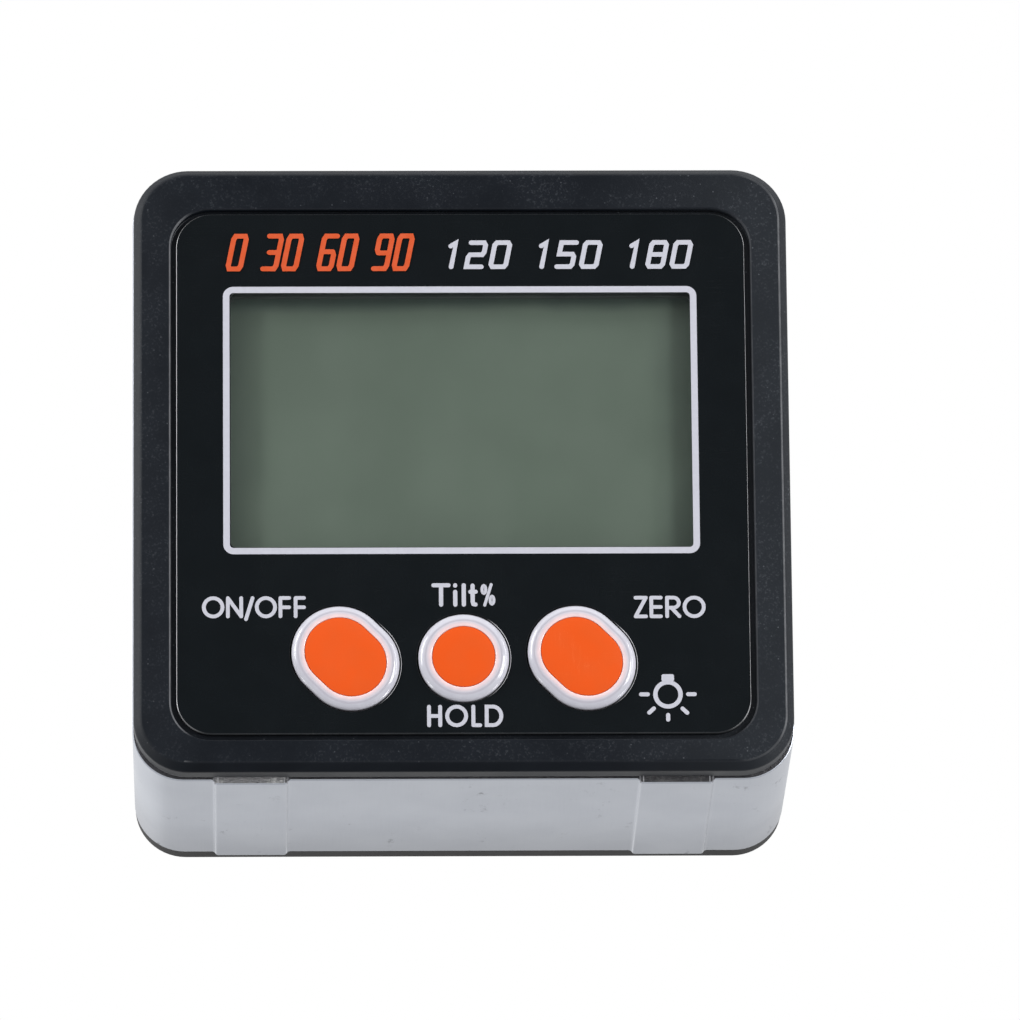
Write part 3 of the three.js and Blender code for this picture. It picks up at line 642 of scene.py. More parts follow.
def bossesInto(mesh):
    bore, radius, back = bezel["bore"], bezel["boss"], bezel["bossBack"]
    root = bezel["plateBack"] - bezel["bossSink"]
    for x, z in bosses:
        turnedInto(mesh, x, z, [(bore, root), (radius, root), (radius, back - 0.2), (radius - 0.2, back),
                                (bore + 0.13, back), (bore, back - 0.15), (bore, root)])
    bore, radius, back = bezel["postBore"], bezel["post"], bezel["postBack"]
    root = bezel["plateBack"] - bezel["postSink"]
    for corner in corners:
        turnedInto(mesh, *middleOf(corner + "_board_screw"),
                   [(bore, root), (radius, root), (radius, back), (bore, back), (bore, root)], 24)


def makeBezel():
    outer, recess, flange, opening, lip = map(bezel.get, ("outer", "recess", "flange", "window", "lip"))
    hollow = shrunk(lip, bezel["lipWall"])
    stations = [
        (*shrunk(outer, bezel["wallInset"]), bezel["depth"]), (*outer, bezel["wallEnd"]),
        (*outer, bezel["edgeRun"]), (*shrunk(outer, bezel["edgeInset"]), 0.0),
        (*recess, 0.0), (*recess, bezel["floor"]), (*flange, bezel["floor"]), (*flange, bezel["flangeBack"]),
        (*opening, bezel["flangeBack"]), (*opening, bezel["plateBack"]), (*hollow, bezel["plateBack"]),
        (*hollow, bezel["lipBack"]), (*lip, bezel["lipBack"]), (*lip, bezel["depth"]),
    ]
    shell = tool(lambda mesh: sweepInto(mesh, stations, bezel["easings"]))
    combine(shell, keyTools(bezel["keyGap"], 3.0), "DIFFERENCE")

    def fill(mesh):
        mesh.from_mesh(shell.data)
        bossesInto(mesh)

    piece = shape("bezelShell", fill)
    bpy.data.objects.remove(shell)
    paintEdges(piece, finishes["bezel"], finishes["bezelEdge"])
    # Narrow faces just behind the face plane, round the recess and along the right side, take the edge finish
    # with its painted highlight lines
    left, right, bottom, top = bezel["inside"]
    for polygon in piece.data.polygons:
        x, depth, z = (polygon.center - at(0, 0, 0)) / mm
        inside = left <= x <= right and bottom <= z <= top
        if bezel["edgeLine"][0] < depth < bezel["edgeLine"][1] and (x > 0 or inside):
            polygon.material_index = 1
    paintOpening(piece, flange, bezel["flangeBack"] - 0.1, bezel["plateBack"] - 0.05)
    place(piece, "body", "bezel_plastic", "front_bezel")


# The key holes get a painted highlight line at their right sides
keyHoleHighlight = [(-16.0, 0.0)]
for key in keys:
    side = key["x"] + key["radius"] + key["halfLength"] * math.sqrt(0.5)
    keyHoleHighlight += [(side - 1.9, 0.0), (side - 0.7, 1.0), (side + 0.4, 1.0), (side + 0.8, 0.0)]

# Finishes of the pieces seen from outside
finishes = {
    # The bezel's pale dust rises towards the right: real dust and a painted sheen
    "bezel": mouldedPlastic(
        "bezelPlastic", (0.0042, 0.006, 0.0094), (0.13, 0.142, 0.16), 0.44, grain=5.5, depth=0.035,
        dust=[(-10.0, 0.34), (27.0, 0.52)], Specular_IOR_Level=0.15),
    "opening": mouldedPlastic(
        "openingWall", (0.072, 0.084, 0.083), (0.1, 0.11, 0.11), 0.3, dust=0.2, Specular_IOR_Level=0.3),
    # The thin lines along the bezel's edges are painted highlights, strongest at the recess's left edge and
    # the face's right edge
    "bezelEdge": mouldedPlastic(
        "bezelEdge", (0.005, 0.0068, 0.0103), (0.14, 0.148, 0.16), 0.3, grain=5.5, dust=0.25,
        worn=[(-26.3, 0.36), (-25.8, 0.2), (-25.5, 0.2), (-24.5, 1.0), (-23.6, 1.0), (-22.0, 0.05),
              (22.0, 0.05), (24.0, 0.34), (25.5, 0.4), (26.2, 0.88)],
        wornAndLitTone=(0.145, 0.15, 0.16), Specular_IOR_Level=0.1),
    "sheet": glossyPlastic(
        "printedSheet", (0.0058, 0.0077, 0.0093), 0.15, smear=0.06, scratches=0.1,
        scratchTone=(0.1, 0.1, 0.1), Specular_IOR_Level=0.3),
    # The pale lines along the sheet's left and right edges are painted highlights
    "sheetEdge": glossyPlastic(
        "printedSheetEdge", (0.007, 0.009, 0.011), 0.3, wornAndLitTone=(0.95, 0.95, 0.98),
        worn=[(-23.45, 1.3), (-23.2, 0.3), (-22.2, 0.12), (-21.0, 0.02), (21.5, 0.02), (22.6, 0.15),
              (23.3, 0.55)], Specular_IOR_Level=0.12),
    "keyHoleEdge": glossyPlastic(
        "keyHoleEdge", (0.012, 0.013, 0.015), 0.5, worn=keyHoleHighlight, wornAndLitTone=(0.9, 0.9, 0.93),
        Specular_IOR_Level=0.1),
    "aluminium": drawnMetal("anodisedAluminium", (0.405, 0.428, 0.476), 0.34, lines=0.3, marks=1.0),
    "aluminiumEdge": drawnMetal(
        "aluminiumEdge", (0.40, 0.42, 0.46), 0.3, lines=0.2, worn=0.3, wornAndLitTone=(0.7, 0.71, 0.74)),
    "aluminiumCut": drawnMetal(
        "aluminiumCut", (0.42, 0.42, 0.43), 0.5, lines=0.2, marks=0.2, worn=0.9,
        wornAndLitTone=(0.95, 0.95, 0.95)),
    "cover": mouldedPlastic(
        "coverPlastic", (0.013, 0.0128, 0.0138), (0.12, 0.12, 0.125), 0.6, grain=6.0, dust=0.16,
        depth=0.035, Specular_IOR_Level=0.2),
    "coverEdge": mouldedPlastic(
        "coverEdge", (0.02, 0.02, 0.021), (0.12, 0.12, 0.125), 0.42, grain=6.0, dust=0.2, worn=0.35,
        wornAndLitTone=(0.16, 0.16, 0.16)),
}


# The bezel gets a painted sheen: a little paler towards its sides, most at the right
def finishBezel():
    made = finishes["bezel"]
    share = alongX(made.tree, [(-26.5, 0.3), (-20.0, 0.0), (8.0, 0.0), (26.0, 1.0), (26.3, 1.0), (26.5, 0.4)])
    made.cover((share, (0.0105, 0.0115, 0.0125)), blend="ADD")


# The band gets a painted shade towards the cover, and its cut front ends keep the marks of the saw
def finishBand():
    made = finishes["aluminium"]
    made.cover((depthIn(made.tree).spread(12.0, 26.5, 0.0, 0.32), (0.04, 0.04, 0.045)))
    saw = finishes["aluminiumCut"]
    saw.bump(noise(saw.tree, 1.6, 4.0, 0.7, (1.6, 1.0, 5.0)), 1.0, 0.12)
    # Painted shade over the cut front ends, lighter on the left pad
    shut = alongX(saw.tree, [(-20.6, 0.93), (-20.4, 0.4), (-15.0, 0.35), (-14.2, 0.93), (14.4, 0.93),
                             (14.6, 0.87), (20.2, 0.87), (20.4, 0.93)])
    saw.cover((shut, (0.03, 0.03, 0.035)))
    # The band's front rim gets painted highlights on the pad slopes and painted shade elsewhere
    rim = finishes["aluminiumEdge"]
    behind = depthIn(rim.tree).spread(3.1, 3.4)
    slopes = alongX(rim.tree, [(middle + reach, value) for middle in (-band["padX"], band["padX"])
                               for reach, value in ((-3.4, 0.0), (-3.2, 0.75), (-2.8, 0.75), (-2.6, 0.0),
                                                    (2.6, 0.0), (2.8, 0.75), (3.2, 0.75), (3.4, 0.0))])
    bright = mixed(slopes, (0.85, 0.86, 0.89), (0.2, 0.2, 0.22))
    rim.give(Base_Color=mixed(behind, bright, rim.tone()), Roughness=behind.spread(0.0, 1.0, 0.75, 0.3))


# Aluminium band: one section with two raised pads, eased at both rims
band = {"outer": (-27.1, 27.1, -26.025, 26.025, 4.2), "inner": (-24.9, 24.9, -22.625, 23.825, 2.0),
        "front": 2.88, "back": 24.48, "rim": 0.1, "padX": 17.4, "padHalf": 2.85, "padHeight": 0.32,
        "padSlope": 0.28, "magnetGap": 0.1}


def bandLoop(inset, depth, part):
    steps = 14
    left, right, bottom, top, radius = band[part]
    grow = inset if part == "inner" else -inset
    loop = roundedLoop(left - grow, right + grow, bottom - grow, top + grow, radius + min(grow, 0), depth,
                       steps)
    bottom -= min(grow, 0)
    foot, edge = band["padHalf"] + band["padSlope"], band["padHalf"]
    drop = band["padHeight"] if part == "outer" else 0.0
    path = [(-foot, 0.0, 0.12), (-edge, -drop, 0.1), (edge, -drop, 0.1), (foot, 0.0, 0.12)]
    ends = [(-foot - 1.0, 0.0), *path, (foot + 1.0, 0.0)]
    low = []
    for middle in (-band["padX"], band["padX"]):
        for index, (x, z, ease) in enumerate(path):
            before, after = ends[index], ends[index + 2]
            bend = (before[1] + after[1]) / 2 - z
            for share in (-easeReach[1], -easeReach[0], 0.0, *easeReach):
                other = before if share < 0 else after
                step = min(0.27, ease / math.hypot(other[0] - x, other[1] - z)) * abs(share)
                pull = math.copysign(0.25 * ease, bend) if bend and share == 0 else 0.0
                low.append((middle + x + (other[0] - x) * step, depth,
                            bottom + z + (other[1] - z) * step + pull))
    return loop[:3 * (steps + 1)] + low + loop[3 * (steps + 1):]


def makeBand():
    rim, front, back, gap = band["rim"], band["front"], band["back"], band["magnetGap"]
    outside = [(rim, front), (rim * 0.3, front + rim * 0.3), (0, front + rim), (0, front + 2 * rim),
               (0, back - 2 * rim), (0, back - rim), (rim * 0.3, back - rim * 0.3), (rim, back)]
    inside = [(rim, back), (0, back - rim), (0, front + rim), (rim, front)]
    loops = [bandLoop(*spot, "outer") for spot in outside] + [bandLoop(*spot, "inner") for spot in inside]
    piece = shape("bandShell", lambda mesh: loftInto(mesh, loops, True))
    seats = []
    for node in ("left_base_magnet", "right_base_magnet"):
        left, right, start, stop, bottom, top = boxOf(node)
        seats.append(blockTool((left - gap, right + gap, start - gap, stop + gap, bottom, top + 1.0)))
    combine(piece, seats, "DIFFERENCE")
    paintEdges(piece, finishes["aluminium"], finishes["aluminiumEdge"], finishes["aluminiumCut"])
    place(piece, "body", "aluminium", "housing_frame")


finishBezel()
finishBand()
makeBezel()
print("bezel made")
makeBand()
print("band made")


# Printed sheet, eased all round, with its key holes
sheet = {"outline": (-23.47, 23.47, -22.88, 21.93, 2.9), "front": 0.25, "back": 0.65, "ease": 0.07,
         "keyGap": 0.12, "keysHalf": 16.0, "keysRise": 6.0}


def makeSheet():
    stations = [(*sheet["outline"], sheet["back"]), (*sheet["outline"], sheet["front"]),
                (*bezel["window"], sheet["front"]), (*bezel["window"], sheet["back"])]
    piece = shape("faceSheet", lambda mesh: sweepInto(mesh, stations, (0, sheet["ease"], 0.03, 0)))
    combine(piece, keyTools(sheet["keyGap"], 1.5), "DIFFERENCE")
    easeEdges(piece, 0.045, 60.0)
    paintEdges(piece, finishes["sheet"], finishes["sheetEdge"], widest=0.05)
    piece.data.materials.append(finishes["keyHoleEdge"].material)
    for polygon in piece.data.polygons:
        x, depth, z = (polygon.center - at(0, 0, keyRow)) / mm
        if polygon.material_index == 1 and abs(x) < sheet["keysHalf"] and abs(z) < sheet["keysRise"]:
            polygon.material_index = 2
        if abs(polygon.normal.y) > 0.999:
            polygon.use_smooth = False
    paintOpening(piece, bezel["window"], sheet["front"] + 0.06, sheet["back"] - 0.01)
    place(piece, "body", "printed_sheet", "face_overlay")


# Clear window: a flange behind the sheet and a land flush with it
window = {"land": (-18.96, 18.96, -6.85, 15.05, 0.4), "flange": (-20.01, 20.01, -7.9, 16.1, 1.45),
          "front": 0.25, "edge": 0.04, "step": 0.66, "back": 1.35, "tone": (0.02, 0.022, 0.022)}


def makeWindow():
    land, flange, edge = window["land"], window["flange"], window["edge"]
    stations = [(*shrunk(land, edge), window["front"]), (*land, window["front"] + edge),
                (*land, window["step"]), (*flange, window["step"]), (*flange, window["back"])]
    made = Finish("clearWindow", window["tone"], 0.05, IOR=1.49)
    scratch, height = made.handle(0.05, 0.12, 0.2)
    made.cover((scratch, (0.5, 0.5, 0.5)))
    made.give(Alpha=scratch * 0.15 + 0.09)
    made.bump(height, 0.1, 0.01)
    piece = shape("windowPane", lambda mesh: sweepInto(mesh, stations, closed=False, steps=6), made, angle=30)
    place(piece, "body", "window", "display_window")


makeSheet()
makeWindow()
print("sheet and window made")


# Printed marks: flat strokes with round ends, each a hair above the one before
printing = {
    "lift": 0.012, "step": 0.001, "white": (0.54, 0.545, 0.615), "orange": (0.64, 0.085, 0.017),
    "border": (-19.63, 19.48, -7.49, 15.61, 0.85), "borderStroke": 0.54, "lampStroke": 0.34,
    "lampRing": (16.67, -19.57, 1.03, 1.03, 0, 350, 35), "lampRingStroke": 0.36,
    "lamp": [[(16.32, z), (17.02, z)] for z in (-18.2, -18.02, -18.3)] + [
        [(14.47, -19.56), (15.02, -19.56)], [(18.32, -19.56), (18.86, -19.56)],
        [(15.5, -20.76), (15.12, -21.12)], [(17.84, -20.78), (18.22, -21.14)],
        [(16.66, -21.32), (16.66, -21.72)]],
}
printDepth = sheet["front"] - printing["lift"]
strokeNumber = itertools.count()


def strokeInto(mesh, points, width, closed=False):
    depth = printDepth - printing["step"] * next(strokeNumber)
    half = width / 2
    spots = [Vector(point) for point in points]
    last = len(spots) - 1
    left, right = [], []
    for index, spot in enumerate(spots):
        before = spots[index - 1 if closed else max(index - 1, 0)]
        after = spots[(index + 1) % len(spots) if closed else min(index + 1, last)]
        first, second = spot - before, after - spot
        first = (first if first.length > 1e-9 else second).normalized()
        second = (second if second.length > 1e-9 else first).normalized()
        along = (first + second).normalized()
        side = along.orthogonal() * half / max(along.dot(first), 0.5)
        left.append(spot + side)
        right.append(spot - side)
    left, right = ([mesh.verts.new(at(spot.x, depth, spot.y)) for spot in row] for row in (left, right))
    for index in range(len(spots) if closed else last):
        after = (index + 1) % len(spots)
        mesh.faces.new((left[index], left[after], right[after], right[index]))
    if closed:
        return
    for end, neighbour, first, second in ((0, 1, left[0], right[0]), (-1, -2, right[-1], left[-1])):
        away = spots[end] - spots[neighbour]
        start = math.degrees(math.atan2(away.y, away.x)) + 90
        arc = arcPoints(*points[end], half, half, start, start - 180, 8)[1:-1]
        mesh.faces.new([second, *(mesh.verts.new(at(x, depth, z)) for x, z in arc), first])


# Letters as strokes on a body one unit high and wide. A stroke in round brackets is closed
letters = {
    "O": [tuple(arcPoints(0.5, 0.5, 0.5, 0.5, 0, 345, 23))],
    "N": [[(0, 0), (0, 1), (1, 0), (1, 1)]],
    "F": [[(1, 1), (0, 1), (0, 0)], [(0, 0.49), (1, 0.49)]],
    "H": [[(0, 0), (0, 1)], [(1, 0), (1, 1)], [(0, 0.5), (1, 0.5)]],
    "L": [[(0, 1), (0, 0), (1, 0)]],
    "D": [((0, 0), (0, 1), (0.42, 1), *arcPoints(0.42, 0.5, 0.58, 0.5, 80, -80, 14), (0.42, 0))],
    "Z": [[(0, 1), (1, 1), (0, 0), (1, 0)]],
    "E": [[(1, 1), (0, 1), (0, 0), (1, 0)], [(0, 0.5), (1, 0.5)]],
    "R": [[(0, 0), (0, 1), (0.5, 1), *arcPoints(0.5, 0.73, 0.46, 0.27, 80, -80, 12), (0.5, 0.46)],
          [(0, 0.46), (0.5, 0.46)], [(0.34, 0.46), (1, 0)]],
    "T": [[(0, 1), (1, 1)], [(0.5, 1), (0.5, 0)]],
    "i": [[(0.5, 0), (0.5, 0.66)], [(0.5, 0.98), (0.5, 1.0)]],
    "l": [[(0.5, 0), (0.5, 1)]],
    "t": [[(0.42, 0.98), (0.42, 0.14), (0.55, 0.02), (0.95, 0.0)], [(0, 0.66), (1, 0.66)]],
    "%": [[(0.78, 1), (0.22, 0)], tuple(arcPoints(0.16, 0.76, 0.16, 0.19, 0, 330, 11)),
          tuple(arcPoints(0.84, 0.24, 0.16, 0.19, 0, 330, 11))],
    "/": [[(0, -0.15), (1, 1)]],
}
# Each word: its letters, bottom and top, stroke, and the left and right end of every letter, in mm
legends = [
    ("ON/OFF", -12.97, -11.09, 0.31, (-21.39, -19.55, -19.42, -18.02, -17.94, -17.09, -17.06, -15.25, -15.12,
                                      -14.10, -13.88, -12.88)),
    ("Tilt", -12.03, -10.02, 0.35, (-2.60, -1.02, -0.84, -0.46, -0.14, 0.24, 0.42, 1.20)),
    ("%", -12.03, -10.02, 0.25, (1.42, 2.64)),
    ("HOLD", -22.30, -20.40, 0.32, (-3.03, -1.80, -1.55, 0.32, 0.59, 1.46, 1.68, 3.19)),
    ("ZERO", -13.06, -11.15, 0.31, (13.96, 15.12, 15.25, 16.34, 16.54, 17.86, 17.97, 19.86)),
]
# Slanted square figures of the angle scale above the display, in the same way
boxed = ((0.12, 0), (0, 0.1), (0, 0.9), (0.12, 1), (0.88, 1), (1, 0.9), (1, 0.1), (0.88, 0))
figures = {
    "0": [boxed],
    "1": [[(0.3, 0.86), (0.6, 1), (0.6, 0)]],
    "2": [[(0, 1), (0.88, 1), (1, 0.9), (1, 0.6), (0.9, 0.5), (0.1, 0.5), (0, 0.4), (0, 0), (1, 0)]],
    "3": [[(0, 1), (0.88, 1), (1, 0.9), (1, 0.1), (0.88, 0), (0, 0)], [(0.25, 0.5), (1, 0.5)]],
    "5": [[(1, 1), (0, 1), (0, 0.52), (0.88, 0.52), (1, 0.42), (1, 0.1), (0.88, 0), (0, 0)]],
    "6": [[(1, 1), (0.12, 1), (0, 0.9), (0, 0.1), (0.12, 0), (0.88, 0), (1, 0.1), (1, 0.42), (0.88, 0.52)],
          [(0, 0.52), (0.88, 0.52)]],
    "8": [boxed, [(0, 0.5), (1, 0.5)]],
    "9": [[(0, 0), (0.88, 0), (1, 0.1), (1, 0.9), (0.88, 1), (0.12, 1), (0, 0.9), (0, 0.58), (0.12, 0.48)],
          [(0.12, 0.48), (1, 0.48)]],
}
# Each row of figures: its numbers, left, right, bottom and top, and its stroke
scaleRows = {"printScaleWhite": (("120", "150", "180"), (-1.3, 18.9, 17.3, 19.4), 0.4),
             "printScaleOrange": (("0", "30", "60", "90"), (-18.95, -4.2, 17.15, 20.0), 0.42)}
figureShape = {"slant": 0.2, "width": 0.62, "space": 0.75}


# A line parts at its sharp corners, which the round ends of its parts then fill
def roundedParts(points):
    if isinstance(points, tuple):
        return [points]
    parts = [[points[0]]]
    for before, here, after in zip(points, points[1:], points[2:]):
        parts[-1].append(here)
        if (Vector(here) - Vector(before)).angle(Vector(after) - Vector(here)) > math.radians(60):
            parts.append([here])
    parts[-1].append(points[-1])
    return parts


def wordInto(mesh, word, bottom, top, stroke, ends):
    for letter, left, right in zip(word, ends[::2], ends[1::2]):
        for points in letters[letter]:
            placed = type(points)((left + stroke / 2 + px * (right - left - stroke),
                                   bottom + stroke / 2 + pz * (top - bottom - stroke)) for px, pz in points)
            for part in roundedParts(placed):
                strokeInto(mesh, part, stroke, isinstance(points, tuple))


def figuresInto(mesh, numbers, box, stroke):
    left, right, bottom, top = box
    share, space = figureShape["width"], figureShape["space"]
    slots = sum(len(number) for number in numbers) + space * (len(numbers) - 1)
    pitch = (right - left) / (slots - (1 - share))
    for number in numbers:
        for figure in number:
            for points in figures[figure]:
                placed = [(left + px * pitch * share + figureShape["slant"] * (pz - 0.5) * (top - bottom),
                           bottom + pz * (top - bottom)) for px, pz in points]
                strokeInto(mesh, placed, stroke, isinstance(points, tuple))
            left += pitch
        left += pitch * space


def printFinish(name, tone):
    made = Finish(name, tone, 0.42)
    made.cover((noise(made.tree, 3.5, 4.0, 0.6).spread(0.3, 0.75) * 0.3, scaled(tone, 0.8)))
    made.give(Roughness=noise(made.tree, 1.2).spread(0.3, 0.7, 0.35, 0.5))
    made.bump(noise(made.tree, 9.0), 0.15, 0.004)
    return made


def borderInto(mesh):
    stroke = printing["borderStroke"]
    loop = roundedLoop(*shrunk(printing["border"], stroke / 2), 0, 8)
    strokeInto(mesh, [(x, z) for x, depth, z in loop], stroke, True)


def legendsInto(mesh):
    for legend in legends:
        wordInto(mesh, *legend)
    strokeInto(mesh, arcPoints(*printing["lampRing"]), printing["lampRingStroke"], True)
    for line in printing["lamp"]:
        strokeInto(mesh, line, printing["lampStroke"])


def makePrints():
    white = printFinish("printWhite", printing["white"])
    orange = printFinish("printOrange", printing["orange"])
    prints = {"printBorder": borderInto, "printLegends": legendsInto}
    for name, row in scaleRows.items():
        prints[name] = lambda mesh, row=row: figuresInto(mesh, *row)
    for name, fill in prints.items():
        piece = shape(name, fill, orange if name == "printScaleOrange" else white, angle=35)
        place(piece, "body", "printed_sheet")


makePrints()
print("prints made")


# Keys: a pale rim that runs down into a rounded shoulder, and an orange disc let into its top
keyShape = {"top": -0.25, "shoulderDepth": 0.45, "cone": 0.2, "back": 2.65, "pocket": 0.3, "gap": 0.04,
            "ring": 0.44, "step": 0.035, "stem": 1.2, "ear": 0.6, "earHalf": 1.2, "rim": (0.57, 0.57, 0.64),
            "pink": (0.93, 0.70, 0.70), "orange": (0.775, 0.0865, 0.0034)}


def rimFinish(key):
    made = Finish(key["side"] + "KeyRim", keyShape["rim"], 0.16, Coat_Weight=0.4, Coat_Roughness=0.06)
    away = made.use("key", Across=key["x"], Height=keyRow, Half_length=key["halfLength"])["Distance"]
    height = made.handle(0.14, 0.12, 0.25)[1]
    ring, radius = key["inlay"] + keyShape["ring"], key["radius"]
    # Pink ring by the disc: painted glow of the orange through the clear rim
    made.cover((away.spread(key["inlay"] + 0.1, ring + 0.12, 1.0, 0.0), keyShape["pink"]),
               # Darker ring where the top meets the shoulder: painted shade in the crease
               (abs(away - (ring + 0.14)).spread(0.03, 0.13, 0.55, 0.0), (0.42, 0.39, 0.45)),
               # Pale band near the outer edge: painted highlight
               (away.spread(radius - 0.3, radius - 0.08, 0.0, 0.12), (0.80, 0.80, 0.85)),
               # Dark line at the very edge: painted shade at the rim's foot
               (away.spread(radius - 0.03, radius - 0.004, 0.0, 0.6), (0.28, 0.27, 0.30)),
               (clouds(made.tree, 1.1, 0.2), (0.42, 0.41, 0.49)))
    made.bump(height, 0.15, 0.01)
    return made


def discFinish(key):
    made = Finish(key["side"] + "KeyOrange", keyShape["orange"], 0.42, Specular_IOR_Level=0.25)
    scratch, height = made.handle(0.4, 0.1, 0.8 if key["side"] == "right" else 0.25)
    made.cover((clouds(made.tree, 0.6), (0.75, 0.089, 0.006)), (scratch * 0.3, (0.95, 0.25, 0.09)))
    made.bump(height + noise(made.tree, 7.0), 0.15, 0.006)
    return made


# The rim's profile from the pocket outwards, as rows of (distance from the key's middle line, depth)
def rimProfile(key):
    top, radius, step, back = keyShape["top"], key["radius"], keyShape["step"], keyShape["back"]
    pocket, ring = key["inlay"] + keyShape["gap"], key["inlay"] + keyShape["ring"]
    rows = [(pocket, top + keyShape["pocket"]), (pocket, top + 0.04), (pocket + 0.04, top + 0.005),
            (pocket + 0.1, top), (ring - 0.12, top), (ring - 0.05, top + step * 0.15),
            (ring, top + step * 0.5), (ring + 0.05, top + step * 0.85), (ring + 0.12, top + step)]
    start = ring + 0.14
    for part in range(11):
        turn = math.radians(9 * part)
        fall = keyShape["cone"] * math.sin(turn)
        fall += (keyShape["shoulderDepth"] - keyShape["cone"]) * (1 - math.cos(turn)) ** 1.3
        rows.append((start + (radius - start) * math.sin(turn), top + step + 0.003 + fall + 0.001 * part))
    return rows + [(radius, back - 0.05), (radius - 0.05, back)]


def makeKey(key):
    side, x, inlay, top, back = key["side"], key["x"], key["inlay"], keyShape["top"], keyShape["back"]

    def capInto(mesh):
        loftInto(mesh, [keyLoop(key, *row) for row in rimProfile(key)])
        stem, stemBack = keyShape["stem"], boxOf(side + "_key_cap")[3]
        turnedInto(mesh, x, keyRow, [(0, back - 0.2), (stem, back - 0.2), (stem, stemBack - 0.08),
                                     (stem - 0.08, stemBack), (0, stemBack)], 24)
        stemEnd = len(mesh.verts)
        reach, half = key["radius"] + keyShape["ear"], keyShape["earHalf"]
        blockInto(mesh, x - reach, x + reach, bezel["plateBack"], back, keyRow - half, keyRow + half, 0.08)
        mesh.verts.ensure_lookup_table()
        centre = Matrix.Translation(at(x, 0, keyRow))
        turn = centre @ Matrix.Rotation(math.radians(-45), 4, "Y") @ centre.inverted()
        bmesh.ops.transform(mesh, matrix=turn, verts=mesh.verts[stemEnd:])

    def discInto(mesh):
        rows = [(inlay, top + keyShape["pocket"] - 0.005), (inlay, top + 0.025), (inlay - 0.01, top + 0.006),
                (inlay - 0.035, top), (inlay * 0.55, top)]
        loftInto(mesh, [keyLoop(key, *row) for row in rows])

    cap = shape(side + "KeyCap", capInto, rimFinish(key), angle=40)
    place(cap, side + "_key", "key_rim", side + "_key_cap")
    disc = shape(side + "KeyDisc", discInto, discFinish(key), angle=40)
    place(disc, side + "_key", "key_orange", side + "_key_inlay")


for key in keys:
    makeKey(key)
print("keys made")


# Display: grey-green glass, with painted shade towards its sides and a painted shadow under its top edge
display = {"tone": (0.133, 0.177, 0.139), "dark": (0.052, 0.072, 0.068), "deep": (0.035, 0.055, 0.058)}


def displayFinish():
    made = Finish("displayGlass", display["tone"], 0.3, Coat_Weight=0.25, Coat_Roughness=0.2)
    sides = made.use("side", Left=-19.0, Right=18.95, Bottom=-6.9, Top=15.1, Left_width=2.2, Right_width=2.3,
                     Bottom_width=0.2, Top_width=0.9)["Mask"]
    above = made.use("side", Left=-30.0, Right=30.0, Bottom=-30.0, Top=15.1, Top_width=0.85)["Mask"]
    made.handle(0.28, 0.15, 0.05)
    made.cover((clouds(made.tree, 0.13), scaled(display["tone"], 1.1)),
               (noise(made.tree, 8.0).spread(0.35, 0.7, 0.0, 0.14), (0.17, 0.21, 0.175)),
               (sides * 0.36, display["dark"]), (above * 0.5, display["deep"]))
    made.bump(noise(made.tree, 9.0), 0.12, 0.006)
    return made


def dress(made, *nodes):
    for node in nodes:
        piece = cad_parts[node]
        piece.data.materials.clear()
        piece.data.materials.append(made.material)


dress(displayFinish(), "lcd_front_glass", "lcd_rear_glass")
print("display dressed")


# Back cover: eased plate, lip, screw tubes and cell tray, cut out for the door, cells, tabs and screws
cover = {
    "outline": (-27.05, 27.05, -25.975, 25.975, 4.2), "front": 24.58, "back": 27.0, "edge": 0.62,
    "ease": 0.05, "lipFront": 22.98, "root": 24.68, "tray": (-24.7, 24.7, 13.4, 24.68, -11.35, 12.55),
    "hollow": (-23.9, 23.9, 14.4, beyond, -10.35, 11.55), "rib": (-23.9, 23.9, 13.4, 15.6, 0.0, 1.2),
    "slots": ((23.4, 23.9, 12.4, 15.4, 4.8, 7.4), (23.4, 23.9, 12.4, 15.4, -6.2, -3.6)),
    "way": ((-24.65, 28.05, 25.0, beyond, -11.4, 12.6), (-24.65, 28.05, 25.0, 26.0, -12.3, 13.5)),
    "tube": (2.6, 14.1, 24.68), "headBore": (1.95, 15.6, beyond), "shankBore": (1.07, 13.0, 16.5),
}
door = {"skin": (-24.5, 28.0, 25.1, beyond, -11.25, 12.45), "grips": 5, "firstGrip": 24.05,
        "tongue": (-24.5, 28.0, 25.1, 25.9, -12.15, 13.35), "gripPitch": 1.8, "gripWidth": 0.8,
        "gripDepth": 0.3, "ease": 0.08}


def coverPlateInto(mesh):
    outer, front, back = cover["outline"], cover["front"], cover["back"]
    stations = [(*shrunk(outer, 0.05), front), (*outer, front + 0.05), (*outer, back - cover["edge"]),
                (*shrunk(outer, cover["edge"]), back), (*shrunk(outer, 3.0), back)]
    sweepInto(mesh, stations, (0, 0, 0.1, 0.1, 0), False)


def lipInto(mesh):
    outer, front, root = bezel["lip"], cover["lipFront"], cover["root"]
    inner = shrunk(outer, bezel["lipWall"])
    sweepInto(mesh, [(*outer, root), (*outer, front), (*inner, front), (*inner, root)], steps=6)


def tubeTool(x, z, radius, front, back):
    profile = [(0, front), (radius, front), (radius, back), (0, back)]
    return tool(lambda mesh: turnedInto(mesh, x, z, profile, 36))


def makeCover():
    piece = shape("coverShell", coverPlateInto)
    added = [tool(lipInto), blockTool(cover["tray"]), *(tubeTool(*boss, *cover["tube"]) for boss in bosses)]
    combine(piece, added, "UNION")
    hollow = blockTool(cover["hollow"])
    combine(hollow, [blockTool(cover["rib"])], "DIFFERENCE")
    cuts = [hollow, *map(blockTool, cover["way"]), *map(blockTool, cover["slots"])]
    for boss in bosses:
        cuts += [tubeTool(*boss, *cover["headBore"]), tubeTool(*boss, *cover["shankBore"])]
    combine(piece, cuts, "DIFFERENCE")
    easeEdges(piece, cover["ease"])
    paintEdges(piece, finishes["cover"], finishes["coverEdge"], widest=0.05)
    place(piece, "body", "cover_plastic", "back_cover")


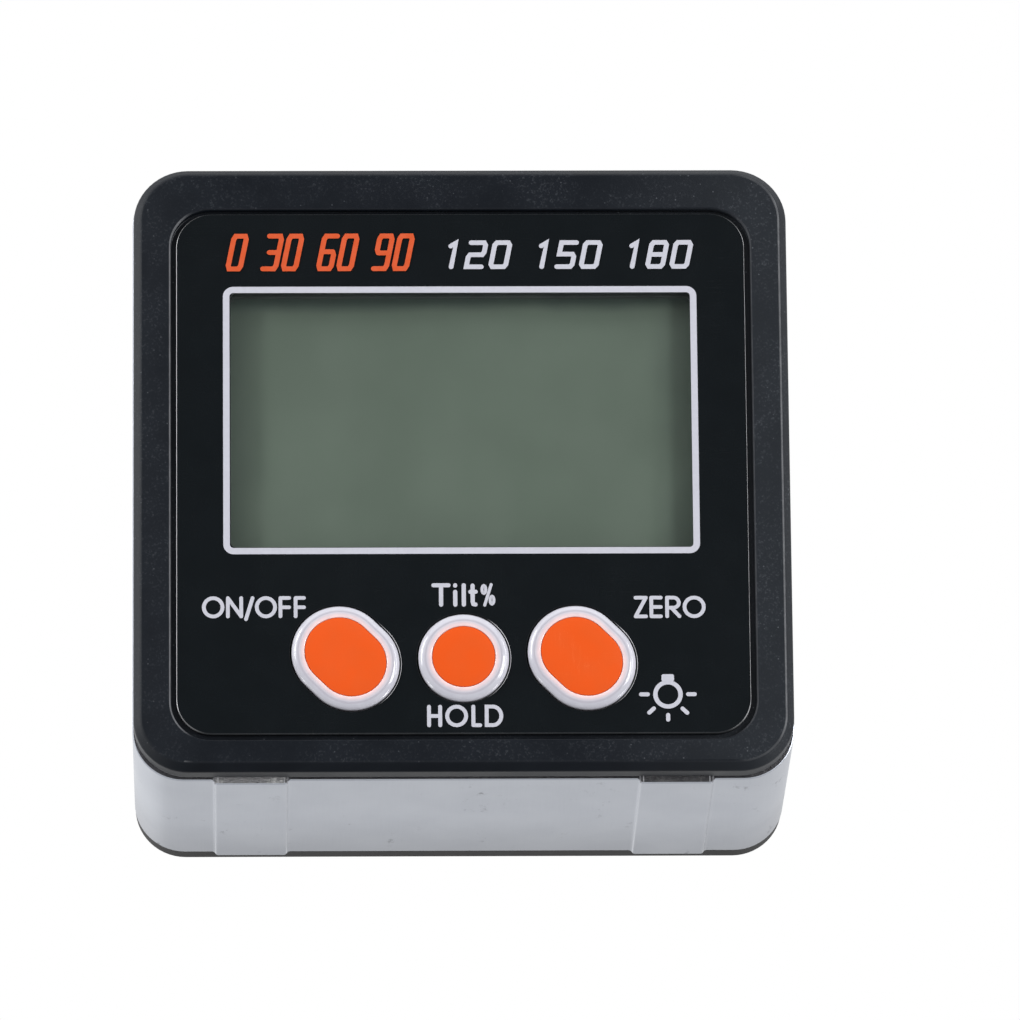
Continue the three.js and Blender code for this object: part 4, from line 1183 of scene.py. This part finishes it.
def makeDoor():
    piece = shape("slidingDoor", lambda mesh: blockInto(mesh, *door["skin"]))
    combine(piece, [blockTool(door["tongue"])], "UNION")
    combine(piece, [tool(coverPlateInto)], "INTERSECT")
    grips = []
    for index in range(door["grips"]):
        right = door["firstGrip"] - index * door["gripPitch"]
        grips.append(blockTool((right - door["gripWidth"], right, cover["back"] - door["gripDepth"],
                                *cover["hollow"][3:])))
    combine(piece, grips, "DIFFERENCE")
    easeEdges(piece, door["ease"])
    paintEdges(piece, finishes["cover"], finishes["coverEdge"], widest=0.05)
    place(piece, "door", "cover_plastic", "battery_door")


makeCover()
makeDoor()
print("back cover and door made")


# Screws: threaded shank, domed head and a cross for the driver. Each kind has the depths of its tip, seat
# and back, the radii of its shank and head, its pitch and the depth of its slot
screws = {"cover": (6.6, 15.6, 16.9, 0.95, 1.75, 0.5, 0.6), "board": (3.2, 6.8, 7.7, 0.7, 1.4, 0.4, 0.45)}
headShares = ((1.0, 0.5), (0.94, 0.75))


def makeScrew(name, size, made):
    x, z = middleOf(name)
    tip, seat, back, radius, head, pitch, slot = size
    core = radius * 0.78
    profile = [(0, tip), (radius * 0.35, tip + 0.05)]
    along = tip + 0.6
    while along < seat - pitch - 0.2:
        profile += [(core, along), (radius, along + pitch * 0.4), (core, along + pitch * 0.8)]
        along += pitch
    profile += [(radius * 0.85, seat - 0.15), (head * 0.97, seat), (head, seat + 0.06)]
    profile += [(head * wide, seat + (back - seat) * tall) for wide, tall in headShares]
    profile += [(head * 0.78, back - 0.06), (head * 0.6, back), (0, back)]
    piece = shape(name.replace("_", "") + "Turned", lambda mesh: turnedInto(mesh, x, z, profile, 28))
    arm, half = head * 0.62, slot * 0.42
    combine(piece, [blockTool((x - wide, x + wide, back - slot, back + 1, z - tall, z + tall))
                    for wide, tall in ((arm, half), (half, arm))], "DIFFERENCE")
    piece.data.materials.append(made.material)
    smoothed(piece, 30)
    place(piece, "body", "steel", name)


screwSteel = drawnMetal("screwSteel", (0.52, 0.52, 0.54), 0.3, lines=0.2, marks=0.7)
for corner in corners:
    for kind in screws:
        makeScrew(corner + "_" + kind + "_screw", screws[kind], screwSteel)
print("screws made")


# Cells: steel ends, a plain two-colour wrap folded over both rims, and a pale washer round the button.
# The profile's rows are (radius, how far along, paint), and the paints are steel, wrap and washer
cell = {
    "axis": 19.75, "middle": 0.6, "apart": 5.5, "wrap": (0.028, 0.032, 0.04), "band": (0.52, 0.24, 0.085),
    "bandFrom": 33.0, "rows": [
        (0, 0.15, 0), (3.5, 0.15, 0), (3.75, 0.0, 0), (4.7, 0.0, 0), (4.85, 0.06, 1), (5.05, 0.12, 1),
        (5.2, 0.3, 1), (5.25, 0.6, 1), (5.25, 15.0, 1), (5.25, 30.0, 1), (5.25, 42.9, 1), (5.2, 43.3, 1),
        (5.0, 43.5, 1), (4.6, 43.58, 1), (4.3, 43.5, 2), (2.3, 43.45, 2), (2.25, 43.55, 0),
        (1.9, 43.58, 0), (1.86, 44.3, 0), (1.7, 44.46, 0), (1.4, 44.5, 0), (0, 44.5, 0)],
}


def wrapFinish(name, x0, way):
    made = Finish(name, cell["wrap"], 0.3, Coat_Weight=0.4, Coat_Roughness=0.12)
    along = (coordinate(made.tree, "X") - x0) * way
    start = cell["bandFrom"]
    scratch, height = made.handle(0.26, 0.12, 0.5)
    made.cover((along.spread(start - 0.05, start + 0.05), cell["band"]),
               (abs(along - (start - 1.0)).spread(0.18, 0.24, 1.0, 0.0), (0.55, 0.55, 0.57)),
               (clouds(made.tree, 0.5, 0.2), (0.09, 0.08, 0.075)), (scratch * 0.4, (0.5, 0.5, 0.5)))
    made.bump(height + noise(made.tree, 1.5, stretch=(0.15, 1, 1)), 0.15, 0.03)
    return made


def makeCell(side, way, steel, washer):
    node = side + "_battery_cell"
    x0 = boxOf(node)[0 if way > 0 else 1]
    middleZ = middleOf(node)[1]

    def spot(across, up, along):
        return at(x0 + way * along, cell["axis"] + across, middleZ + up)

    profile, paints = [row[:2] for row in cell["rows"]], [row[2] for row in cell["rows"]]
    piece = shape(side + "CellTurned", lambda mesh: turnedInto(mesh, 0, 0, profile, 48, spot, paints), steel,
                  wrapFinish(side + "CellWrap", x0, way), washer, angle=35)
    place(piece, "body", "cell_wrap", node)


cellSteel = drawnMetal("cellSteel", (0.66, 0.66, 0.67), 0.22, lines=0.15, marks=0.3)
washerPlastic = mouldedPlastic("washerPlastic", (0.42, 0.41, 0.38), (0.3, 0.3, 0.3), 0.5, grain=6, dust=0.2)
makeCell("upper", 1, cellSteel, washerPlastic)
makeCell("lower", -1, cellSteel, washerPlastic)
print("cells made")


# Contacts: pressed plates, and springs whose wire lies flat for a turn at either end
contact = {"plate": (23.5, 23.9), "wallFront": 14.4, "tabBack": 15.4, "tabHalf": 1.2, "ease": 0.08,
           "start": 23.275, "end": 21.325, "wire": 0.175, "plateRadius": 2.3, "cellRadius": 1.7,
           "turns": 2.25, "steps": 220}


def makePlate(node, made):
    left, right, front, back, bottom, top = boxOf(node)
    middle, ease = (bottom + top) / 2, contact["ease"]

    def fill(mesh):
        if node == "bridge_contact":
            blockInto(mesh, -contact["plate"][1], -contact["plate"][0], front, back, bottom, top, ease)
            return
        blockInto(mesh, *contact["plate"], contact["wallFront"], back, bottom, top, ease)
        blockInto(mesh, *contact["plate"], front, contact["tabBack"], middle - contact["tabHalf"],
                  middle + contact["tabHalf"], ease)

    piece = shape(node.replace("_", "") + "Plate", fill, made, angle=30)
    place(piece, "body", "nickel", node)


def makeSpring(node, way, made):
    wide, start, turns, steps = map(contact.get, ("plateRadius", "start", "turns", "steps"))
    points = []
    for step in range(steps + 1):
        turn = step / steps * (turns + 2.0) - 1.0
        share = min(max(turn / turns, 0.0), 1.0)
        past = max(turn - turns, 0.0) + max(-turn, 0.0)
        radius = wide + (contact["cellRadius"] - wide) * share - past * 0.02
        points.append((way * (start + (contact["end"] - start) * share),
                       cell["axis"] + radius * math.cos(2 * math.pi * turn),
                       cell["middle"] - way * cell["apart"] + radius * math.sin(2 * math.pi * turn)))
    piece = shape(node.replace("_", "") + "Coil", lambda mesh: wireInto(mesh, points, contact["wire"], 10),
                  made, angle=50)
    place(piece, "body", "steel", node)


# Two wires from the contact tabs to the board, stripped and tinned at their ends. The marks of the path are
# (x, depth, way towards the middle), and its first and last mark only give the wire its direction
wire = {"radius": 0.45, "sides": 14, "steps": 12, "bare": 0.12, "red": (0.46, 0.018, 0.014),
        "black": (0.013, 0.013, 0.013), "path": ((23.7, 12.9, 0), (23.7, 12.1, 0), (23.7, 10.5, 0),
                                                 (20.3, 8.7, 1.5), (20.3, 7.1, 1.5), (20.3, 6.3, 1.5))}


def makeWire(name, way, tinned):
    sleeve = glossyPlastic(name + "Sleeve", wire[name], 0.38, smear=0.1, scratches=0.1)
    marks = [(x, depth, cell["middle"] + way * (cell["apart"] - drift)) for x, depth, drift in wire["path"]]
    points = []
    for four in zip(marks, marks[1:], marks[2:], marks[3:]):
        for step in range(wire["steps"]):
            t = step / wire["steps"]
            points.append(tuple(0.5 * (2 * q + (r - p) * t + (2 * p - 5 * q + 4 * r - s) * t * t
                                       + (3 * q - p - 3 * r + s) * t ** 3) for p, q, r, s in zip(*four)))
    points.append(marks[-2])

    def fill(mesh):
        wireInto(mesh, points, wire["radius"], wire["sides"],
                 lambda share: int(share < wire["bare"] or share > 1 - wire["bare"]))

    piece = shape(name + "batterywireLead", fill, sleeve, tinned, angle=40)
    place(piece, "body", name + "_insulation", name + "_battery_wire")


nickel = drawnMetal("contactNickel", (0.72, 0.70, 0.66), 0.2, lines=0.3, marks=0.4)
springSteel = drawnMetal("springWire", (0.62, 0.62, 0.63), 0.25, lines=0.2, marks=0.3)
tinnedCopper = drawnMetal("tinnedCopper", (0.66, 0.65, 0.63), 0.3, lines=0.4, marks=0.3)
for node in ("bridge_contact", "positive_contact", "negative_contact"):
    makePlate(node, nickel)
makeSpring("upper_contact_spring", -1, springSteel)
makeSpring("lower_contact_spring", 1, springSteel)
makeWire("red", 1, tinnedCopper)
makeWire("black", -1, tinnedCopper)
print("contacts and wires made")


# Pieces inside that keep their solids get their own finishes
board = {"mask": (0.008, 0.085, 0.032), "trace": (0.02, 0.17, 0.06), "tin": (0.55, 0.52, 0.45),
         "pitch": 1.27}


def boardFinish():
    made = Finish("boardMask", board["mask"], 0.32, Coat_Weight=0.3, Coat_Roughness=0.15)
    tree, pitch = made.tree, board["pitch"]
    traces = []
    for axis, other, scale in (("X", "Z", 0.45), ("Z", "X", 0.38)):
        along, across = coordinate(tree, axis), coordinate(tree, other)
        flat = addNode(tree, "ShaderNodeCombineXYZ", (worked("SNAP", across, pitch), along * 0.12))
        offset = abs(worked("FRACT", across / pitch) - 0.5)
        run = noise(tree, scale, 0.0, place=flat)
        traces.append(offset.spread(0.1, 0.14, 1.0, 0.0) * run.spread(0.5, 0.53))
    copper = largest(*traces)
    ring = cellsIn(tree, 0.32)[0].spread(0.1, 0.12, 1.0, 0.0)
    made.cover((copper, board["trace"]), (ring, board["tin"]))
    made.give(Roughness=noise(tree, 0.8).spread(0.3, 0.7, 0.26, 0.4))
    made.bump(copper * 0.6 + ring, 0.3, 0.04)
    return made


# An even pattern across one axis, such as the layers of the display's contact strip
def stripedFinish(name, first, second, axis, pitch, roughness):
    made = Finish(name, first, roughness)
    mask = abs(worked("FRACT", coordinate(made.tree, axis) / pitch) - 0.5).spread(0.2, 0.28)
    patches = clouds(made.tree, 2.0, 0.25)
    made.cover((mask, second), (patches, scaled(first, 0.7)))
    made.give(Roughness=patches.spread(0.0, 0.25, roughness - 0.05, roughness + 0.08))
    made.bump(mask + patches, 0.2, 0.02)
    return made


# A dull moulded chip with a round mark near its corner
def chipFinish(name, node, half, tone):
    made = mouldedPlastic(name, tone, (0.14, 0.14, 0.14), 0.55, grain=9, dust=0.25, depth=0.012)
    x, z = middleOf(node)
    side = coordinate(made.tree, "X") - (x - half * 0.72)
    rise = heightIn(made.tree) - (z + half * 0.72)
    far = worked("SQRT", side * side + rise * rise)
    made.cover((far.spread(half * 0.1, half * 0.12, 1.0, 0.0), (0.09, 0.09, 0.09)))
    return made


dress(mouldedPlastic("carrierPlastic", (0.72, 0.72, 0.69), (0.5, 0.5, 0.48), 0.45, grain=5, dust=0.25),
      "lcd_frame")
for key in keys:
    side = key["side"]
    dress(mouldedPlastic(side + "Plunger", (0.66, 0.64, 0.6), (0.4, 0.4, 0.38), 0.4),
          side + "_switch_plunger")
    dress(drawnMetal(side + "SwitchShell", (0.5, 0.5, 0.51), 0.3, lines=0.3), side + "_switch_base")
dress(stripedFinish("guideAcrylic", (0.8, 0.83, 0.82), (0.88, 0.9, 0.89), "X", 0.9, 0.28), "backlight_guide")
dress(stripedFinish("lampResin", (0.85, 0.72, 0.16), (0.84, 0.83, 0.8), "Z", 2.8, 0.35), "backlight_lamp")
dress(stripedFinish("contactStrip", (0.62, 0.3, 0.28), (0.05, 0.045, 0.045), "X", 0.5, 0.7), "lcd_connector")
dress(boardFinish(), "main_board")
dress(chipFinish("controllerResin", "controller_chip", 3.5, (0.014, 0.014, 0.015)), "controller_chip")
dress(chipFinish("sensorResin", "tilt_sensor", 2.0, (0.02, 0.02, 0.022)), "tilt_sensor")
dress(drawnMetal("crystalCan", (0.7, 0.69, 0.66), 0.22, lines=0.4, marks=0.4), "clock_crystal")
dress(drawnMetal("capacitorCan", (0.66, 0.67, 0.69), 0.26, marks=0.4), "power_capacitor")
dress(drawnMetal("magnetNickel", (0.62, 0.61, 0.59), 0.18, lines=0.1),
      "left_base_magnet", "right_base_magnet")
print("inner pieces dressed")


# World, floor and lamps. Each lamp has its place, width, height and power, and looks at the object
studio = {"front": 0.06, "below": 0.22, "round": 0.95, "fill": 0.5, "mirrored": (0.0, -0.956, 0.292)}
floor = {"tone": (0.92, 0.92, 0.925), "dull": (0.89, 0.89, 0.895), "tile": 0.25, "tiles": 8, "sunk": 0.00002,
         "fade": (150.0, 420.0)}
aim = Vector((0, 0, 0.026))
lamps = {
    "leftLamp": ((-0.75, -0.45, 0.42), 0.16, 0.6, 4.0),
    "rightLamp": ((0.75, -0.4, 0.32), 0.12, 0.6, 1.4),
    "topLamp": ((0.0, -0.3, 0.92), 1.4, 0.8, 3.5),
    "frontCard": ((0.70, -0.70, 0.1), 0.22, 0.42, 3.6),
    "leftCard": ((-0.95, 0.15, 0.32), 0.9, 0.8, 4.0),
    "backCard": ((-0.6, 0.85, 0.0), 0.8, 0.6, 0.4),
    "rightCard": ((0.95, 0.15, 0.32), 0.8, 0.8, 0.8),
    "lowRightLamp": ((0.62, -0.16, -0.36), 0.16, 0.16, 0.8),
    "lowLeftLamp": ((-0.62, -0.16, -0.30), 0.12, 0.12, 0.4),
}


def makeLamp(name, spot, width, height, power):
    light = bpy.data.lights.new(name, "AREA")
    light.shape = "RECTANGLE"
    light.size = width
    light.size_y = height
    light.energy = power
    lamp = bpy.data.objects.new(name, light)
    lamp.location = spot
    lamp.rotation_mode = "QUATERNION"
    lamp.rotation_quaternion = (aim - Vector(spot)).to_track_quat("-Z", "Y")
    bpy.context.scene.collection.objects.link(lamp)


def makeWorld():
    world = bpy.data.worlds.new("studio")
    bpy.context.scene.world = world
    world.use_nodes = True
    tree = world.node_tree
    tree.nodes.clear()
    seen, through, glossy = (addNode(tree, "ShaderNodeLightPath", output="Is " + ray + " Ray")
                             for ray in ("Camera", "Transmission", "Glossy"))
    way = addNode(tree, "ShaderNodeTexCoord", output="Generated")
    facing = addNode(tree, "ShaderNodeVectorMath", (way, studio["mirrored"]), "Value",
                     operation="DOT_PRODUCT")
    ahead = facing.spread(0.9, 0.975, studio["round"], studio["front"])
    below = axisOf(way, "Z").spread(-0.95, -0.78, studio["below"], studio["round"])
    shown = largest(seen, through)
    level = glossy * worked("MINIMUM", ahead, below) + (1.0 - glossy) * studio["fill"]
    level = level * (1.0 - shown) + shown
    sky = addNode(tree, "ShaderNodeBackground", {"Color": (1, 1, 1, 1), "Strength": level})
    addNode(tree, "ShaderNodeOutputWorld", {"Surface": sky})


def floorInto(mesh):
    tiles, size = floor["tiles"], floor["tile"]
    rows = [[mesh.verts.new((x * size, y * size, -floor["sunk"])) for x in range(-tiles, tiles + 1)]
            for y in range(-tiles, tiles + 1)]
    for first, second in zip(rows, rows[1:]):
        for index in range(2 * tiles):
            mesh.faces.new((first[index], first[index + 1], second[index + 1], second[index]))


# Only the camera sees the paper. It is clear from below, and far from the object it fades out
def makeFloor():
    made = Finish("floorPaper", floor["tone"], 0.8)
    tree = made.tree
    grain = noise(tree, 0.4, 3.0)
    made.cover((grain.spread(0.3, 0.7, 0.0, 0.4), floor["dull"]))
    made.bump(grain, 0.05, 0.05)
    far = addNode(tree, "ShaderNodeVectorMath", (millimetres(tree),), "Value", operation="LENGTH")
    below = addNode(tree, "ShaderNodeNewGeometry", output="Backfacing")
    clear = addNode(tree, "ShaderNodeBsdfTransparent")
    paper = addNode(tree, "ShaderNodeMixShader", (largest(below, far.spread(*floor["fade"])),
                                                  Value(made.shader.outputs[0]), clear))
    feed(paper, tree.nodes["Material Output"].inputs["Surface"])
    piece = shape("floor", floorInto, made, shut=False)
    for kind in ("visible_diffuse", "visible_glossy", "visible_transmission", "visible_shadow"):
        setattr(piece, kind, False)


makeWorld()
makeFloor()
for name, settings in lamps.items():
    makeLamp(name, *settings)
print("lamps, world and floor placed")
